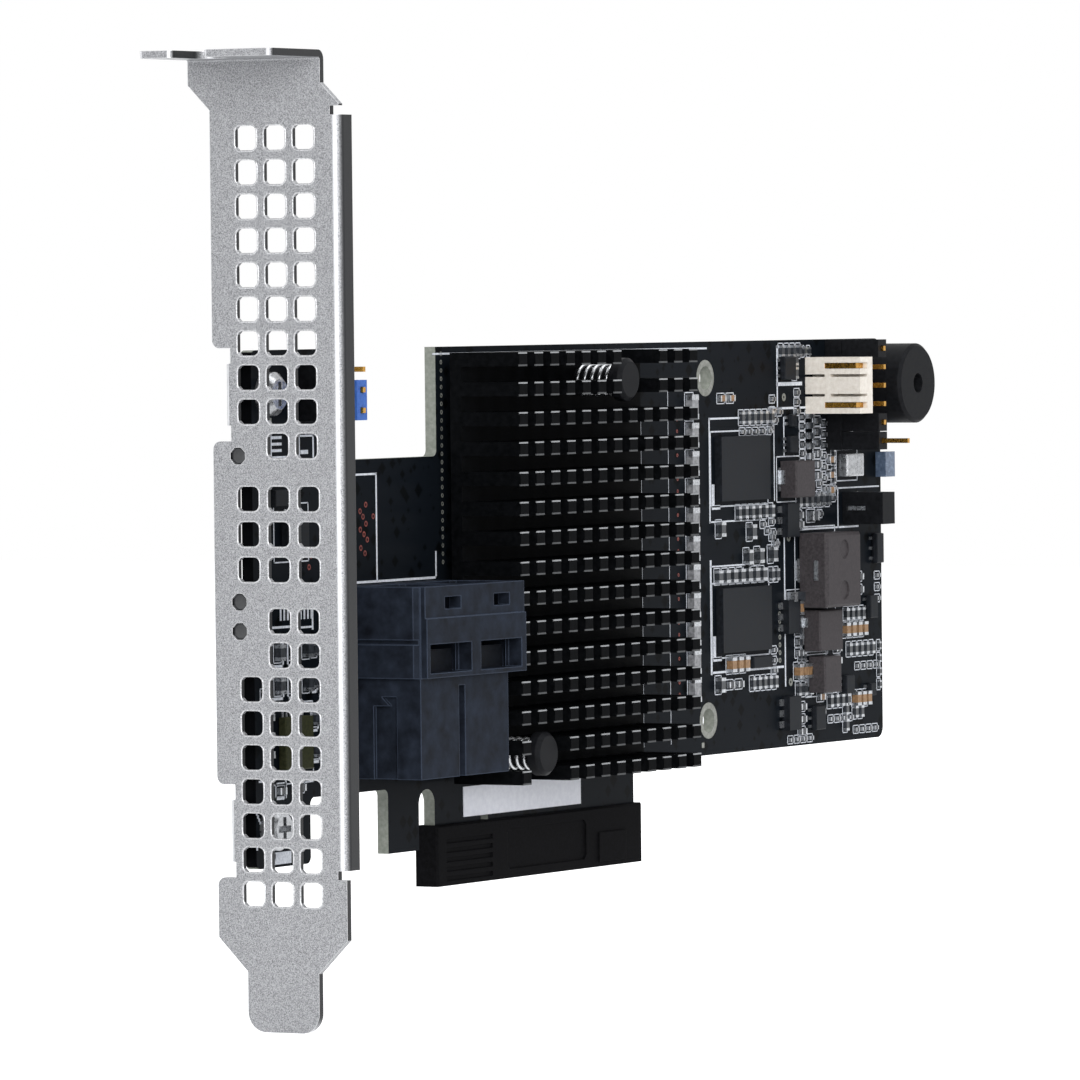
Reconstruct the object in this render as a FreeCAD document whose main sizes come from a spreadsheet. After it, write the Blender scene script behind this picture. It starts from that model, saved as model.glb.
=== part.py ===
import FreeCAD, Part
import math
import os
import Sketcher
from FreeCAD import Vector

# A low-profile storage controller card on a full-height vented bracket.
#
# Frame, in millimetres: the origin is the centre of the key notch in the edge connector,
# on the board's middle plane, at the lower edge of the contacts.  +X runs along the card
# away from the bracket, +Z is up, and the component side of the board faces -Y.

os.makedirs("parts", exist_ok=True)
doc = FreeCAD.newDocument("controller_card")
sheet = doc.addObject("Spreadsheet::Sheet", "Dimensions")

SIZES = [
    # circuit board
    ("board_long", 167.65, "length of the board"),
    ("board_top", 67.6, "top edge above the contacts' lower edge"),
    ("board_thick", 1.57, "thickness of the laminate"),
    ("board_corner", 1.5, "outer corner radius"),
    ("cut_corner", 0.9, "radius in the corners of the cut-outs"),
    ("body_drop", 12.0, "lower edge of the body above the contacts' lower edge"),
    ("leg_drop", 8.15, "depth of the legs below the body"),
    ("near_leg_wide", 12.9, "leg beside the bracket"),
    ("mid_leg_wide", 7.65, "leg beside the edge connector"),
    ("leg_slot_wide", 3.95, "slot between the middle leg and the contacts"),
    ("slot_top", 11.5, "top of that slot"),
    ("key_wide", 1.9, "key notch"),
    ("key_high", 7.9, "top of the key notch"),
    ("near_contacts", 11.65, "contact section before the key"),
    ("far_contacts", 38.65, "contact section after the key"),
    ("head_wide", 17.3, "width of the board's head beside the bracket"),
    ("step_x", -11.2, "far side of the large top notch"),
    ("notch_floor", 53.7, "floor of the large top notch"),
    ("contact_wide", 0.7, "one gold contact"),
    ("contact_high", 5.6, "length of a gold contact"),
    ("contact_lift", 0.5, "contacts above the board's lower edge"),
    ("contact_thick", 0.05, "plated thickness of a contact"),
    ("contact_pitch", 1.0, "pitch of the contacts"),
    ("near_count", 11, "contacts before the key"),
    ("far_count", 38, "contacts after the key"),
    # bracket
    ("face_to_key", 58.2, "outer face of the bracket to the key"),
    ("face_to_board", 2.2, "outer face of the bracket to the board's near edge"),
    ("bracket_wide", 18.42, "width of the bracket"),
    ("bracket_high", 120.02, "height of the bracket"),
    ("bracket_drop", 15.9, "bracket's foot below the contacts' lower edge"),
    ("bracket_thick", 0.9, "thickness of the steel"),
    ("tongue_wide", 10.19, "width of the foot"),
    ("tongue_high", 7.4, "straight height of the foot"),
    ("tongue_corner", 2.5, "corner radius of the foot"),
    ("tab_deep", 11.43, "reach of the fixing tab"),
    ("tab_flare", 3.08, "tab past the bracket's board side"),
    ("tab_inset", 2.6, "tab short of the bracket's flange side"),
    ("tab_corner", 0.8, "corner radius of the tab"),
    ("flare_high", 4.0, "straight height under the tab"),
    ("slot_wide", 4.42, "fixing slot in the tab"),
    ("slot_deep", 7.2, "depth of the fixing slot"),
    ("slot_from_middle", 5.3, "fixing slot from the bracket's middle"),
    ("bend_inside", 0.3, "inside radius of the bends"),
    ("ear_bend", 0.8, "outside radius of the ears' bends"),
    ("flange_deep", 3.1, "depth of the stiffening flange"),
    ("flange_low", 4.1, "lower end of the flange"),
    ("flange_high", 92.1, "length of the flange"),
    ("flange_relief", 1.1, "height of the relief at the ends of the flange"),
    ("ear_inset", 1.73, "ear inside the bracket's board-side edge"),
    ("ear_long", 9.5, "reach of an ear from the outer face"),
    ("ear_high", 7.6, "height of an ear"),
    ("ear_corner", 2.0, "corner radius of an ear"),
    ("ear_relief_wide", 1.9, "height of the relief beside an ear"),
    ("low_ear", 8.7, "height of the lower ear's screw"),
    ("high_ear", 62.2, "height of the upper ear's screw"),
    ("ear_screw", 5.7, "screw from the bracket's outer face"),
    # vent holes
    ("vent", 3.2, "side of a square vent hole"),
    ("vent_corner", 0.5, "eased corner of a vent hole"),
    ("vent_col", 4.1, "column pitch of the vent holes"),
    ("vent_row", 4.18, "row pitch of the vent holes"),
    ("mid_col", 4.3, "column pitch of the middle field"),
    ("mid_row", 4.33, "row pitch of the middle field"),
    ("top_vent", 10.57, "top row of the upper field below the bracket's top"),
    ("mid_vent", 6.48, "middle field below the upper field's last row"),
    ("low_vent", 6.29, "lower field below the middle field's last row"),
    ("vent_cols", 3, "holes in a full row"),
    ("top_rows", 9, "full rows in the upper field"),
    ("mid_rows", 3, "rows in the middle field"),
    ("low_short_rows", 2, "two-hole rows in the lower field"),
    ("low_rows", 7, "full rows in the lower field"),
    ("pip", 2.06, "round hole beside the vents, across"),
    ("pip_inset", 3.5, "round holes from the board-side edge"),
    ("pip_high", 54.7, "highest round hole"),
    ("pip_mid", 36.8, "second round hole"),
    ("pip_low", 33.2, "lowest round hole"),
    # screws and holes
    ("screw", 2.9, "thread of the bracket screws"),
    ("screw_hole", 3.2, "hole for a bracket screw in the board"),
    ("screw_long", 3.6, "length of a bracket screw under its head"),
    ("screw_head", 5.4, "head of a bracket screw"),
    ("head_thick", 2.0, "height of a screw head"),
    ("head_edge", 0.8, "sloped edge of a screw head"),
    ("recess", 1.1, "depth of the cross recess"),
    ("fit", 0.05, "running clearance round pins and screws"),
    ("plated_hole", 3.2, "plated fixing hole"),
    ("plated_from_end", 51.05, "plated holes from the board's far end"),
    ("plated_low", 16.65, "height of the lower plated hole"),
    ("plated_gap", 46.05, "distance between the plated holes"),
    # heatsink and what holds it
    ("chip_side", 33.0, "controller package"),
    ("chip_base", 0.8, "substrate of the controller"),
    ("die_side", 24.0, "moulded lid of the controller"),
    ("die_thick", 1.0, "height of the moulded lid"),
    ("pad_thick", 0.2, "thermal pad"),
    ("sink_gap", 0.2, "heatsink from the notch side of the board"),
    ("sink_base", 1.6, "base plate of the heatsink"),
    ("fin", 8.6, "height of the fins"),
    ("fin_wide", 2.0, "fin along the card"),
    ("fin_high", 1.77, "fin up the card"),
    ("fin_pitch_x", 4.1, "fin pitch along the card"),
    ("fin_pitch_z", 3.79, "fin pitch up the card"),
    ("fin_cols", 12, "fins along the card"),
    ("fin_rows", 15, "fins up the card"),
    ("pin_first_x", 8.1, "lower push pin from the heatsink's near side"),
    ("pin_first_z", 3.6, "lower push pin above the heatsink's lower side"),
    ("pin_step_x", 22.5, "push pins apart along the card"),
    ("pin_step_z", 47.4, "push pins apart up the card"),
    ("pin_cap", 5.6, "cap of a push pin"),
    ("pin_cap_thick", 1.7, "thickness of a cap"),
    ("pin_cap_edge", 0.5, "sloped edge of a cap"),
    ("pin_reach", 11.3, "top of a cap above the board"),
    ("pin_shank", 2.9, "shank of a push pin"),
    ("pin_barb", 3.9, "barb of a push pin"),
    ("pin_barb_long", 2.6, "length of the barb behind the board"),
    ("spring_wide", 4.3, "outside of a spring"),
    ("spring_wire", 0.5, "wire of a spring"),
    ("spring_turns", 5, "turns of a spring"),
    ("spring_sides", 8, "straight lengths in a turn"),
    # twin cable receptacle
    ("port_x", -36.9, "near side of the receptacle's collar"),
    ("port_wide", 25.6, "width of the collar"),
    ("port_low", 14.0, "lower end of the receptacle"),
    ("port_high", 24.0, "height of the receptacle"),
    ("port_tall", 12.0, "receptacle above the board"),
    ("collar_high", 11.4, "height of the collar"),
    ("collar_proud", 0.95, "front plate above the collar"),
    ("plate_inset", 0.8, "front plate inside the collar's near side"),
    ("band_high", 3.95, "set-back band at the mouth"),
    ("band_drop", 0.25, "depth of that band"),
    ("body_inset", 0.7, "lower body inside the collar's near side"),
    ("port_body_wide", 21.8, "width of the lower body"),
    ("port_body_slot", 1.5, "slot between the two contact blocks"),
    ("slot_from_side", 9.45, "that slot from the lower body's near side"),
    ("block_slot_short", 1.2, "that slot short of the collar"),
    ("bay_wide", 9.8, "width of a cable bay"),
    ("bay_tall", 8.0, "height of a cable bay"),
    ("bay_lift", 3.0, "floor of a bay above the board"),
    ("bay_pitch", 12.6, "pitch of the bays"),
    ("first_bay", 6.7, "centre of the first bay from the collar's near side"),
    ("latch_wide", 10.3, "latch opening"),
    ("latch_high", 3.6, "height of a latch opening"),
    ("latch_up", 0.6, "bays and latch openings above the collar's lower edge"),
    ("window_wide", 4.0, "small window"),
    ("window_pitch", 12.2, "pitch of the small windows"),
    ("window_off", 0.8, "small windows past the middle of the bays"),
    ("window_high", 1.5, "height of a small window"),
    ("window_down", 2.15, "middle of the small windows below the mouth"),
    ("port_chamfer", 0.6, "chamfer of the receptacle's long edges"),
    ("groove_up", 4.2, "side groove above the collar's lower edge"),
    ("groove_high", 0.6, "side groove"),
    ("groove_deep", 0.5, "depth of the side groove"),
    ("step_in", 5.2, "side step above the board"),
    ("step_out", 8.5, "outer end of the side step above the board"),
    ("step_short", 1.15, "slope of the side step"),
    ("step_deep", 0.5, "depth of the side step"),
    ("insert_tall", 1.6, "contact tongue in a bay"),
    ("insert_long", 8.2, "length of a contact tongue"),
    ("insert_side", 0.8, "contact tongue from the sides of its bay"),
    ("leaf_thick", 0.5, "latch leaf behind a latch opening"),
    ("leaf_in", 0.5, "that leaf behind the front of its bay"),
    ("leaf_short", 0.8, "that leaf short of the opening's top"),
    # edge cover
    ("cover_wall", 0.7, "wall of the edge cover"),
    ("cover_end", 0.8, "ends of the edge cover"),
    ("cover_floor", 0.95, "floor of the edge cover"),
    ("cover_high", 7.8, "height of the edge cover"),
    ("cover_fit", 0.06, "clearance of the cover on the board"),
    ("grip_long", 11.8, "length of the grip grooves"),
    ("grip_from_end", 2.3, "grip grooves from the cover's near end"),
    ("grip_wide", 0.6, "grip groove"),
    ("grip_pitch", 1.2, "pitch of the grip grooves"),
    ("grip_count", 5, "grip grooves"),
    ("grip_deep", 0.25, "depth of the moulded relief on the cover"),
    ("panel_from_end", 17.9, "bare panel from the cover's near end"),
    ("panel_long", 20.8, "length of the bare panel"),
    ("panel_up", 1.2, "bare panel above the cover's foot"),
    ("panel_high", 5.2, "height of the bare panel"),
    ("thumb_from_end", 4.7, "thumb pad from the cover's far end"),
    ("thumb_long", 7.3, "length of the thumb pad"),
    ("thumb_up", 0.6, "thumb pad above the cover's foot"),
    ("thumb_high", 3.9, "height of the thumb pad"),
    # memory
    ("memory_long", 13.9, "memory package along the card"),
    ("memory_high", 8.7, "memory package up the card"),
    ("memory_thick", 1.1, "memory package"),
    ("memory_from_end", 41.6, "middle of the memory from the board's far end"),
    ("memory_top", 50.4, "height of the upper memory"),
    ("memory_step", 20.45, "memory packages apart"),
    # coils
    ("coil_from_end", 19.9, "middle of the large choke from the far end"),
    ("coil_side", 10.2, "side of the large choke"),
    ("coil_tall", 4.6, "height of the large choke"),
    ("coil_z", 36.0, "height of the large choke on the board"),
    ("dimple", 2.6, "ejector mark on the large choke"),
    ("dimple_apart", 5.6, "ejector marks apart"),
    ("choke_side", 5.6, "side of a small choke"),
    ("choke_high", 5.0, "narrower side of a small choke"),
    ("choke_long", 6.8, "longer side of the middle choke"),
    ("choke_tall", 2.8, "height of a small choke"),
    ("choke_lift", 0.3, "coils above the board, on their terminals"),
    ("choke_edge", 0.4, "chamfer of the large choke"),
    ("choke_end", 0.6, "half the length of a coil terminal"),
    ("choke_end_wide", 3.2, "width of a coil terminal"),
    ("choke_a_from_end", 27.5, "upper small choke from the far end"),
    ("choke_a_z", 48.6, "height of the upper small choke"),
    ("choke_b_from_end", 20.4, "middle small choke from the far end"),
    ("choke_b_z", 27.7, "height of the middle small choke"),
    ("choke_c_from_end", 20.0, "lower small choke from the far end"),
    ("choke_c_z", 21.6, "height of the lower small choke"),
    # buzzer
    ("buzzer", 11.0, "diameter of the buzzer"),
    ("buzzer_tall", 9.0, "height of the buzzer"),
    ("buzzer_from_end", 5.85, "buzzer from the far end"),
    ("buzzer_z", 61.4, "height of the buzzer on the board"),
    ("buzzer_hole", 2.7, "sound hole"),
    ("buzzer_edge", 0.4, "sloped edge of the buzzer"),
    ("buzzer_leads", 6.5, "leads of the buzzer apart"),
    # pin headers
    ("pin_pitch", 2.54, "pitch of the pin headers"),
    ("pin_side", 0.64, "square pin"),
    ("header_base", 2.5, "plastic base of a pin header"),
    ("header_pin", 8.6, "header pin above the board"),
    ("long_pin", 3.6, "longest pin above the others"),
    ("header_from_end", 15.1, "far header from the far end"),
    ("header_top", 66.3, "top pin of the far header"),
    ("cap_wide", 2.44, "jumper cap"),
    ("cap_tall", 5.7, "length of a jumper cap"),
    ("near_header_x", -43.35, "pins of the near header"),
    ("near_header_top", 65.1, "top pin of the near header"),
    # three-way connector
    ("tower_from_end", 20.4, "three-way connector from the far end"),
    ("tower_z", 61.3, "height of the three-way connector"),
    ("tower_wide", 3.7, "three-way connector along the card"),
    ("tower_pitch", 2.7, "pitch of its towers"),
    ("tower_gap", 0.35, "gap between two towers"),
    ("tower_tall", 8.5, "three-way connector above the board"),
    ("tower_web_up", 3.0, "web of the three-way connector above the board"),
    ("tower_web", 0.9, "height of that web"),
    ("tower_cut", 2.2, "depth of the gaps and contact slots"),
    ("tower_contact", 0.8, "contact slot in a tower"),
    # other parts on the board
    ("plug_from_end", 9.8, "small black plug from the far end"),
    ("plug_z", 44.2, "height of the small black plug"),
    ("plug_long", 3.6, "small black plug along the card"),
    ("plug_high", 4.4, "small black plug up the card"),
    ("plug_tall", 6.3, "small black plug above the board"),
    ("plug_slot", 0.7, "contact slot of the small plug"),
    ("plug_slot_top", 3.6, "top of that slot above the board"),
    ("plug_cut", 0.8, "depth of that slot"),
    ("lamp_from_end", 0.1, "status lamp from the far end"),
    ("lamp_z", 50.05, "height of the status lamp"),
    ("lamp_long", 2.8, "status lamp along the card"),
    ("lamp_high", 3.5, "status lamp up the card"),
    ("lamp_tall", 1.6, "status lamp above the board"),
    ("can_from_end", 10.2, "metal can from the far end"),
    ("can_z", 50.15, "height of the metal can"),
    ("can_long", 5.0, "metal can along the card"),
    ("can_high", 3.1, "metal can up the card"),
    ("can_tall", 1.5, "metal can above the board"),
    ("flash_x", -47.3, "flash chip"),
    ("flash_z", 19.0, "height of the flash chip"),
    ("flash_side", 6.6, "flash chip"),
    ("driver_x", -47.0, "line driver"),
    ("driver_z", 45.0, "height of the line driver"),
    ("driver_long", 5.0, "line driver along the card"),
    ("driver_high", 4.0, "line driver up the card"),
    ("small_chip", 1.2, "height of the small chips"),
    ("lead_thick", 0.15, "lead of a small chip"),
    ("lead_wide", 0.4, "width of a lead"),
    ("lead_out", 0.9, "lead outside its chip"),
    ("lead_in", 0.3, "lead under its chip"),
    ("switcher_side", 4.6, "power switch up the card"),
    ("switcher_long", 3.4, "power switch along the card"),
    ("switcher_from_end", 28.2, "power switches from the far end"),
    ("switcher_z", 16.6, "height of the lowest power switch"),
    ("switcher_step", 13.2, "power switches apart"),
    ("cap_body_long", 1.9, "ceramic capacitor"),
    ("cap_body_wide", 1.1, "width of a ceramic capacitor"),
    ("cap_body_tall", 0.9, "height of a ceramic capacitor"),
    ("caps_pitch", 1.5, "capacitors apart along the card"),
    ("caps_wide_pitch", 2.1, "capacitors above the lower memory apart"),
    ("caps_a_from_end", 14.0, "upper row of capacitors from the far end"),
    ("caps_a_z", 28.4, "height of the upper row of capacitors"),
    ("caps_b_from_end", 9.0, "lower row of capacitors from the far end"),
    ("caps_b_z", 17.6, "height of the lower row of capacitors"),
    ("caps_c_from_end", 48.4, "capacitors above the lower memory from the far end"),
    ("caps_c_z", 35.9, "height of the capacitors above the lower memory"),
    ("label_long", 30.6, "paper label"),
    ("label_high", 3.85, "height of the label"),
    ("label_thick", 0.1, "thickness of the label"),
    ("label_x", -5.4, "near end of the label"),
    ("label_z", 7.45, "lower edge of the label"),
    ("joint_wide", 1.7, "solder joint behind the board"),
    ("joint_tall", 1.1, "height of a solder joint"),
    ("joint_in", 2.0, "lowest joints of the receptacle above its lower end"),
]

for row, (alias, value, note) in enumerate(SIZES, start=1):
    sheet.set(f"A{row}", alias)
    sheet.set(f"B{row}", str(value))
    sheet.setAlias(f"B{row}", alias)
    sheet.set(f"C{row}", note)
doc.recompute()


class Dim:
    """A length worked out from the sheet, kept with the expression that gives it."""

    def __init__(self, value, text):
        self.value = value
        self.text = text

    def __add__(self, other):
        other = as_dim(other)
        return Dim(self.value + other.value, f"({self.text} + {other.text})")

    def __sub__(self, other):
        other = as_dim(other)
        return Dim(self.value - other.value, f"({self.text} - {other.text})")

    def __mul__(self, other):
        other = as_dim(other)
        return Dim(self.value * other.value, f"({self.text} * {other.text})")

    def __truediv__(self, other):
        other = as_dim(other)
        return Dim(self.value / other.value, f"({self.text} / {other.text})")

    def __neg__(self):
        return Dim(-self.value, f"(-1 * {self.text})")


def as_dim(number):
    """Turn a plain number into a Dim."""
    if isinstance(number, Dim):
        return number
    return Dim(float(number), f"({number})")


class Sizes:
    """Reads a size of the sheet by its alias, as in d.board_long."""

    def __getattr__(self, alias):
        return Dim(float(getattr(sheet, alias)), f"Dimensions.{alias}")


d = Sizes()
ZERO = as_dim(0)
X_AXIS, Y_AXIS, Z_AXIS = Vector(1, 0, 0), Vector(0, 1, 0), Vector(0, 0, 1)


def bind(item, prop, size):
    """Tie one property of a document object to the sheet."""
    item.setExpression(prop, as_dim(size).text)


# ---------------------------------------------------------------- sketches and bodies

def new_body(name):
    """Start a solid of its own; its label names its file."""
    body = doc.addObject("PartDesign::Body", name)
    body.Label = name
    return body


def sketch_on(body, name, plane, offset=ZERO):
    """Open a sketch on one of the body's own planes, moved along the plane's normal."""
    sketch = body.newObject("Sketcher::SketchObject", name)
    origin_plane = [item for item in body.Origin.OriginFeatures if item.Role == plane][0]
    sketch.AttachmentSupport = (origin_plane, [""])
    sketch.MapMode = "FlatFace"
    bind(sketch, "AttachmentOffset.Base.z", offset)
    return sketch


def held_at(geometry, end, x, y):
    """Two constraints that hold a point of a sketch, with the sizes that drive them."""
    return [(Sketcher.Constraint(kind, -1, 1, geometry, end, as_dim(size).value),
             as_dim(size).text) for kind, size in (("DistanceX", x), ("DistanceY", y))]


def constrain(sketch, rules):
    """Add constraints in one go; a rule is a constraint and its expression or None."""
    numbers = sketch.addConstraint([rule for rule, _ in rules])
    for number, (_, text) in zip(numbers, rules):
        if text is not None:
            sketch.setExpression(f"Constraints[{number}]", text)


def polygon(sketch, corners):
    """Draw a closed outline with sharp corners through (x, y) corners of the sheet."""
    points = [Vector(as_dim(c[0]).value, as_dim(c[1]).value, 0) for c in corners]
    lines = sketch.addGeometry(
        [Part.LineSegment(points[i], points[(i + 1) % len(points)])
         for i in range(len(points))], False)
    rules = []
    for i, corner in enumerate(corners):
        rules.append((Sketcher.Constraint("Coincident", lines[i - 1], 2, lines[i], 1), None))
        rules += held_at(lines[i], 1, corner[0], corner[1])
    constrain(sketch, rules)


def eased_rectangle(sketch, x, y, wide, high, ease):
    """Draw a rectangle with cut corners from its low corner."""
    right, top = x + wide, y + high
    polygon(sketch, [(x + ease, y), (right - ease, y), (right, y + ease),
                     (right, top - ease), (right - ease, top), (x + ease, top),
                     (x, top - ease), (x, y + ease)])


def circle(sketch, x, y, diameter):
    """Draw a circle driven by the sheet."""
    x, y, diameter = as_dim(x), as_dim(y), as_dim(diameter)
    ring = sketch.addGeometry(Part.Circle(
        Vector(x.value, y.value, 0), Z_AXIS, diameter.value / 2), False)
    constrain(sketch, held_at(ring, 3, x, y) + [
        (Sketcher.Constraint("Diameter", ring, diameter.value), diameter.text)])


def rectangle(sketch, x, y, wide, high):
    """Draw a rectangle from its low corner."""
    polygon(sketch, [(x, y), (x + wide, y), (x + wide, y + high), (x, y + high)])


def pad(body, sketch, length):
    """Extrude a sketch along its normal."""
    feature = body.newObject("PartDesign::Pad", sketch.Name + "_pad")
    feature.Profile = sketch
    bind(feature, "Length", length)
    body.Tip = feature
    return feature


def pocket(body, sketch, depth=None, forward=False):
    """Cut a sketch out of the body, against its normal unless forward is set."""
    feature = body.newObject("PartDesign::Pocket", sketch.Name + "_cut")
    feature.Profile = sketch
    feature.Reversed = forward
    if depth is None:
        feature.Type = "ThroughAll"
    else:
        bind(feature, "Length", depth)
    body.Tip = feature
    return feature


def repeat(body, feature, sketch, across=None, up=None):
    """Repeat a feature on a grid; across and up are (spacing, count) in the sketch."""
    pattern = body.newObject("PartDesign::LinearPattern", feature.Name + "_grid")
    pattern.Originals = [feature]
    pattern.Refine = False
    ways = [way for way in (("H_Axis", across), ("V_Axis", up)) if way[1]]
    for suffix, (axis, (spacing, count)) in zip(("", "2"), ways):
        count = as_dim(count)
        setattr(pattern, "Direction" + suffix, (sketch, [axis]))
        setattr(pattern, "Mode" + suffix, "Spacing")
        bind(pattern, "Offset" + suffix, spacing)
        bind(pattern, "Occurrences" + suffix, count)
        setattr(pattern, "Spacings" + suffix, [-1.0] * (int(count.value) - 1))
    body.Tip = pattern
    return pattern


def edges_where(shape, test):
    """Names of the shape's edges that pass a test of the edge."""
    return [f"Edge{i + 1}" for i, edge in enumerate(shape.Edges) if test(edge)]


def along(edge, axis):
    """Whether an edge is a straight line along an axis."""
    if edge.Curve.TypeId != "Part::GeomLine":
        return False
    return abs(abs(edge.tangentAt(edge.FirstParameter).dot(axis)) - 1) < 1e-6


def line_at(axis, **place):
    """Test for a straight edge along an axis whose middle lies at the given places."""
    def test(edge):
        if not along(edge, axis):
            return False
        middle = edge.CenterOfMass
        return all(abs(getattr(middle, key) - as_dim(size).value) < 1e-4
                   for key, size in place.items())
    return test


def dress(body, kind, edges, size):
    """Round or chamfer named edges of the body's last feature."""
    base = body.Tip
    feature = body.newObject("PartDesign::" + kind, body.Name + "_" + kind.lower())
    feature.Base = (base, edges)
    bind(feature, "Radius" if kind == "Fillet" else "Size", size)
    body.Tip = feature
    return feature


def round_corners(body, keys, corners):
    """Round the edges that stand on (a, b, radius) corners of an outline."""
    axis = {"xz": Y_AXIS, "yz": X_AXIS, "xy": Z_AXIS}[keys]
    by_radius = {}
    for corner in corners:
        if len(corner) == 3:
            radius = as_dim(corner[2])
            by_radius.setdefault(radius.text, (radius, []))[1].append(corner)
    for radius, places in by_radius.values():
        doc.recompute()
        names = []
        for corner in places:
            names += edges_where(body.Shape, line_at(
                axis, **{keys[0]: corner[0], keys[1]: corner[1]}))
        dress(body, "Fillet", names, radius)


# ------------------------------------------------------------------ shared places
board_back = d.board_thick / 2
board_front = -board_back
board_left = d.face_to_board - d.face_to_key
board_right = board_left + d.board_long
face = -d.face_to_key
contacts_left = -(d.key_wide / 2 + d.near_contacts)
contacts_right = d.key_wide / 2 + d.far_contacts
leg_foot = d.body_drop - d.leg_drop
head_right = board_left + d.head_wide
mid_leg_right = contacts_left - d.leg_slot_wide
bracket_left = board_back + d.bracket_thick + d.ear_inset
bracket_right = bracket_left - d.bracket_wide
bracket_middle = bracket_left - d.bracket_wide / 2
bracket_foot = -d.bracket_drop
bracket_top = bracket_foot + d.bracket_high
screw_x = face + d.ear_screw
plated_x = board_right - d.plated_from_end
chip_tall = d.chip_base + d.die_thick
sink_lift = chip_tall + d.pad_thick
sink_left = d.step_x + d.sink_gap
sink_wide = d.fin_pitch_x * (d.fin_cols - 1) + d.fin_wide
sink_low = d.body_drop
sink_high = d.fin_pitch_z * (d.fin_rows - 1) + d.fin_high
push_pins = [
    (sink_left + d.pin_first_x, sink_low + d.pin_first_z),
    (sink_left + d.pin_first_x + d.pin_step_x, sink_low + d.pin_first_z + d.pin_step_z),
]
bracket_screws = [(screw_x, d.low_ear), (screw_x, d.high_ear)]


def pin_hole(sketch, x, z):
    """Draw the eight-sided clearance hole of a push pin."""
    across = d.pin_shank + d.fit * 2
    eased_rectangle(sketch, x - across / 2, z - across / 2, across, across,
                    across * 0.293)


def on_front(lift=ZERO):
    """Offset of a sketch plane that lies a lift above the component side."""
    return -board_front + lift


def block(name, x, z, wide, high, tall, lift=ZERO, edge=None):
    """A moulded block on the component side, centred at x, z, its free edges eased."""
    body = new_body(name)
    sketch = sketch_on(body, name + "_sketch", "XZ_Plane", on_front(lift))
    rectangle(sketch, x - wide / 2, z - high / 2, wide, high)
    pad(body, sketch, tall)
    if edge is not None:
        doc.recompute()
        free = -(on_front(lift) + tall).value
        dress(body, "Chamfer", edges_where(
            body.Shape, lambda e: abs(e.CenterOfMass.y - free) < 1e-6), edge)
    return body


def plain_box(name, x, y, z, wide, deep, high):
    """A Part box from its low corner."""
    solid = doc.addObject("Part::Box", name)
    for prop, size in (("Length", wide), ("Width", deep), ("Height", high),
                       ("Placement.Base.x", x), ("Placement.Base.y", y),
                       ("Placement.Base.z", z)):
        bind(solid, prop, size)
    return solid


def front_box(name, x, z, wide, high, tall, lift=ZERO):
    """A Part box on the component side, centred at x, z."""
    return plain_box(name, x - wide / 2, board_front - lift - tall, z - high / 2,
                     wide, tall, high)


def group(name, solids):
    """Several like solids kept as one named sub-part."""
    item = doc.addObject("Part::Compound", name)
    item.Label = name
    item.Links = solids
    return item


subparts = []

# ---------------------------------------------------------------------- circuit board
# The laminate in one outline: three legs and the contact section below, the tall head
# beside the bracket and the large notch above, with every drilled hole.
board = new_body("circuit_board")
board_outline = sketch_on(board, "board_outline", "XZ_Plane", -board_back)
board_corners = [
    (board_left, leg_foot, d.cut_corner),
    (board_left + d.near_leg_wide, leg_foot, d.cut_corner),
    (board_left + d.near_leg_wide, d.body_drop, d.cut_corner),
    (mid_leg_right - d.mid_leg_wide, d.body_drop, d.cut_corner),
    (mid_leg_right - d.mid_leg_wide, leg_foot),
    (mid_leg_right, leg_foot),
    (mid_leg_right, d.slot_top, d.leg_slot_wide * 0.48),
    (contacts_left, d.slot_top, d.leg_slot_wide * 0.48),
    (contacts_left, ZERO),
    (-(d.key_wide / 2), ZERO),
    (-(d.key_wide / 2), d.key_high, d.key_wide * 0.48),
    (d.key_wide / 2, d.key_high, d.key_wide * 0.48),
    (d.key_wide / 2, ZERO),
    (contacts_right, ZERO),
    (contacts_right, d.body_drop, d.cut_corner),
    (board_right, d.body_drop, d.board_corner),
    (board_right, d.board_top, d.board_corner),
    (d.step_x, d.board_top),
    (d.step_x, d.notch_floor, d.cut_corner),
    (head_right, d.notch_floor, d.cut_corner),
    (head_right, d.board_top, d.cut_corner),
    (board_left, d.board_top, d.cut_corner),
]
polygon(board_outline, board_corners)
for x, z in bracket_screws:
    circle(board_outline, x, z, d.screw_hole)
for z in (d.plated_low, d.plated_low + d.plated_gap):
    circle(board_outline, plated_x, z, d.plated_hole)
for x, z in push_pins:
    pin_hole(board_outline, x, z)
pad(board, board_outline, d.board_thick)
round_corners(board, "xz", board_corners)
subparts.append(board)

# Gold contacts: separate plated strips on both faces, in the two sections of the edge.
contact_solids = []
for side, y in (("front", board_front - d.contact_thick), ("back", board_back)):
    for section, first, count in (
            ("near", -(d.key_wide / 2) - d.contact_pitch * d.near_count
             + d.contact_pitch / 2, d.near_count),
            ("far", d.key_wide / 2 + d.contact_pitch / 2, d.far_count)):
        for i in range(int(count.value)):
            contact_solids.append(plain_box(
                f"contact_{side}_{section}_{i}",
                first + d.contact_pitch * i - d.contact_wide / 2, y, d.contact_lift,
                d.contact_wide, d.contact_thick, d.contact_high))
subparts.append(group("edge_contacts", contact_solids))

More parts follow.
